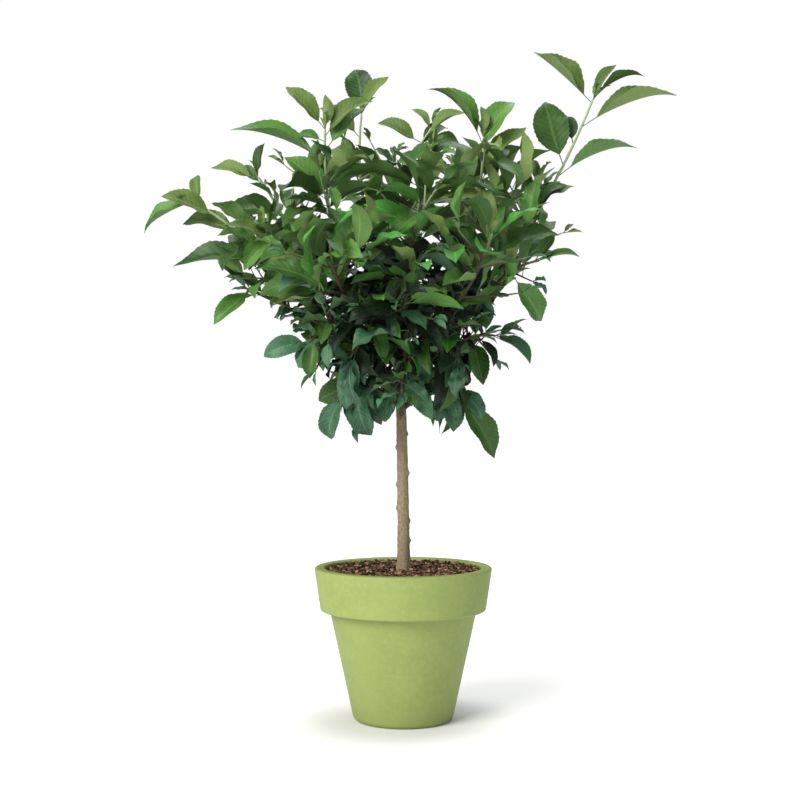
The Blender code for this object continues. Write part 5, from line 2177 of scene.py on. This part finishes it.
    def tint(self, leaf: Leaf, rule: random.Random) -> Tint:
        """Deal out a leaf's tint; only leaves in the middle of the front can be bright.

        Args:
            leaf: The leaf.
            rule: The seeded rule.

        Returns:
            The tint.
        """
        middle = leaf.middle
        tint = rule.choices(list(Tint), self.odds(leaf))[0]
        if middle.z > SHOOT_HEIGHT and leaf.shown > BROAD_SHOWN:
            return Tint.SHADED
        in_front = middle.y < 0 and abs(middle.x - FRESH_CENTRE) < FRESH_REACH and not leaf.shown
        return Tint.GROWN if tint is Tint.FRESH and not in_front else tint


@dataclass(frozen=True)
class Lamp:
    """A soft square light that looks at the middle of the plant."""

    name: str
    place: Triple
    size: float
    power: float
    colour: Triple
    aim: Triple = (0.0, 0.0, 0.42)

    def build(self) -> None:
        """Hang the light."""
        data = bpy.data.lights.new(self.name, "AREA")
        data.size, data.energy, data.color = self.size, self.power, self.colour
        lamp = linked(self.name, data)
        lamp.location = self.place
        aim = Vector(self.aim) - Vector(self.place)
        lamp.rotation_euler = aim.to_track_quat("-Z", "Y").to_euler()


@dataclass(frozen=True)
class Studio:
    """A pale floor that glows, with a painted contact shadow round the pot, soft light from the
    front left, and the camera.
    """

    floor_reach: float = 30.0
    floor_colours: tuple[Colour, Colour] = ((218, 216, 216), (221, 219, 219))
    # Painted contact shadow and painted light: the floor glows dimly near the pot and brightly
    # farther off
    shadow_and_glow_colours: tuple[Colour, ...] = ((60, 60, 60), (168, 168, 168), (242, 242, 242))
    shadow_and_glow_reaches: tuple[Span, Span] = ((0.07, 0.17), (0.5, 3.0))
    floor_relief: float = 0.0002
    lamps: tuple[Lamp, ...] = (
        Lamp("key", (-1.9, -2.4, 2.25), 2.0, 168.0, (1.0, 0.985, 0.94)),
        Lamp("fill", (2.4, -1.6, 0.8), 1.9, 5.0, (0.74, 1.0, 0.94)),
        Lamp("top", (0.3, 0.8, 2.7), 1.8, 42.0, (1.0, 1.0, 1.0)))
    ambient: float = 0.28
    ambient_colour: tuple[float, ...] = (0.90, 0.985, 0.98, 1.0)
    backdrop: float = 1.0
    backdrop_colour: tuple[float, ...] = (1.0, 1.0, 1.0, 1.0)
    camera_place: Triple = (-0.004, -1.73, 0.396)
    lens: float = 62.6
    sensor: float = 36.0

    def build(self) -> None:
        """Set up floor, lights, world and camera."""
        self.floor()
        for lamp in self.lamps:
            lamp.build()
        self.world()
        camera = linked("camera", bpy.data.cameras.new("camera"))
        camera.location = self.camera_place
        camera.rotation_euler = (math.radians(90), 0, 0)
        camera.data.lens = self.lens
        camera.data.sensor_width = self.sensor
        bpy.context.scene.camera = camera
        bpy.context.scene.view_settings.view_transform = "Standard"

    def floor(self) -> None:
        """Lay the floor, which glows dimly under the pot as a painted contact shadow and paler
        away from it as painted light.
        """
        shape = bmesh.new()
        bmesh.ops.create_grid(shape, x_segments=1, y_segments=1, size=self.floor_reach)
        floor = linked("floor", mesh_from(shape, "floor"))
        graph = Graph("pale_floor")
        place = graph.object_place()
        grain = graph.noise(place, 40.0, 2.0)
        x, y, _z = graph.parts(place)
        away = (x * x + y * y).power(0.5)
        colour = graph.mix(grain, *self.floor_colours)
        # Painted contact shadow near the pot, painted light farther off
        shadow_and_glow = self.shadow_and_glow_colours[0]
        for reach, farther in zip(self.shadow_and_glow_reaches, self.shadow_and_glow_colours[1:]):
            shadow_and_glow = graph.mix(graph.within(away, *reach), shadow_and_glow, farther)
        graph.feed(graph.shader.inputs["Emission Color"], shadow_and_glow)
        graph.feed(graph.shader.inputs["Emission Strength"], 1.0)
        floor.data.materials.append(
            graph.dress(colour, 0.9, grain, 0.05, self.floor_relief, 0.0))

    def world(self) -> None:
        """Make a plain white surround that lights the plant less than it shows."""
        world = bpy.data.worlds.new("surround")
        world.use_nodes = True
        tree = world.node_tree
        seen, soft = tree.nodes["Background"], tree.nodes.new("ShaderNodeBackground")
        for node, colour, strength in ((seen, self.backdrop_colour, self.backdrop),
                                       (soft, self.ambient_colour, self.ambient)):
            node.inputs["Color"].default_value = colour
            node.inputs["Strength"].default_value = strength
        path = tree.nodes.new("ShaderNodeLightPath")
        mix = tree.nodes.new("ShaderNodeMixShader")
        tree.links.new(path.outputs["Is Camera Ray"], mix.inputs[0])
        tree.links.new(soft.outputs[0], mix.inputs[1])
        tree.links.new(seen.outputs[0], mix.inputs[2])
        tree.links.new(mix.outputs[0], tree.nodes["World Output"].inputs[0])
        bpy.context.scene.world = world


def main() -> None:
    """Build every piece round the frame."""
    logging.basicConfig(level=logging.INFO, format="%(message)s")
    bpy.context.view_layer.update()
    Studio().build()
    Pot().build()
    Mulch().build()
    crown = Crown(grown_limbs())
    crown.grow()
    LOG.info("crown: %d leaves, %d spurs", len(crown.leaves), len(crown.spurs))
    Trunk().build(crown.limbs["trunk"])
    Boughs().build(crown.limbs)
    Foliage().build(crown)


if __name__ == "__main__":
    main()
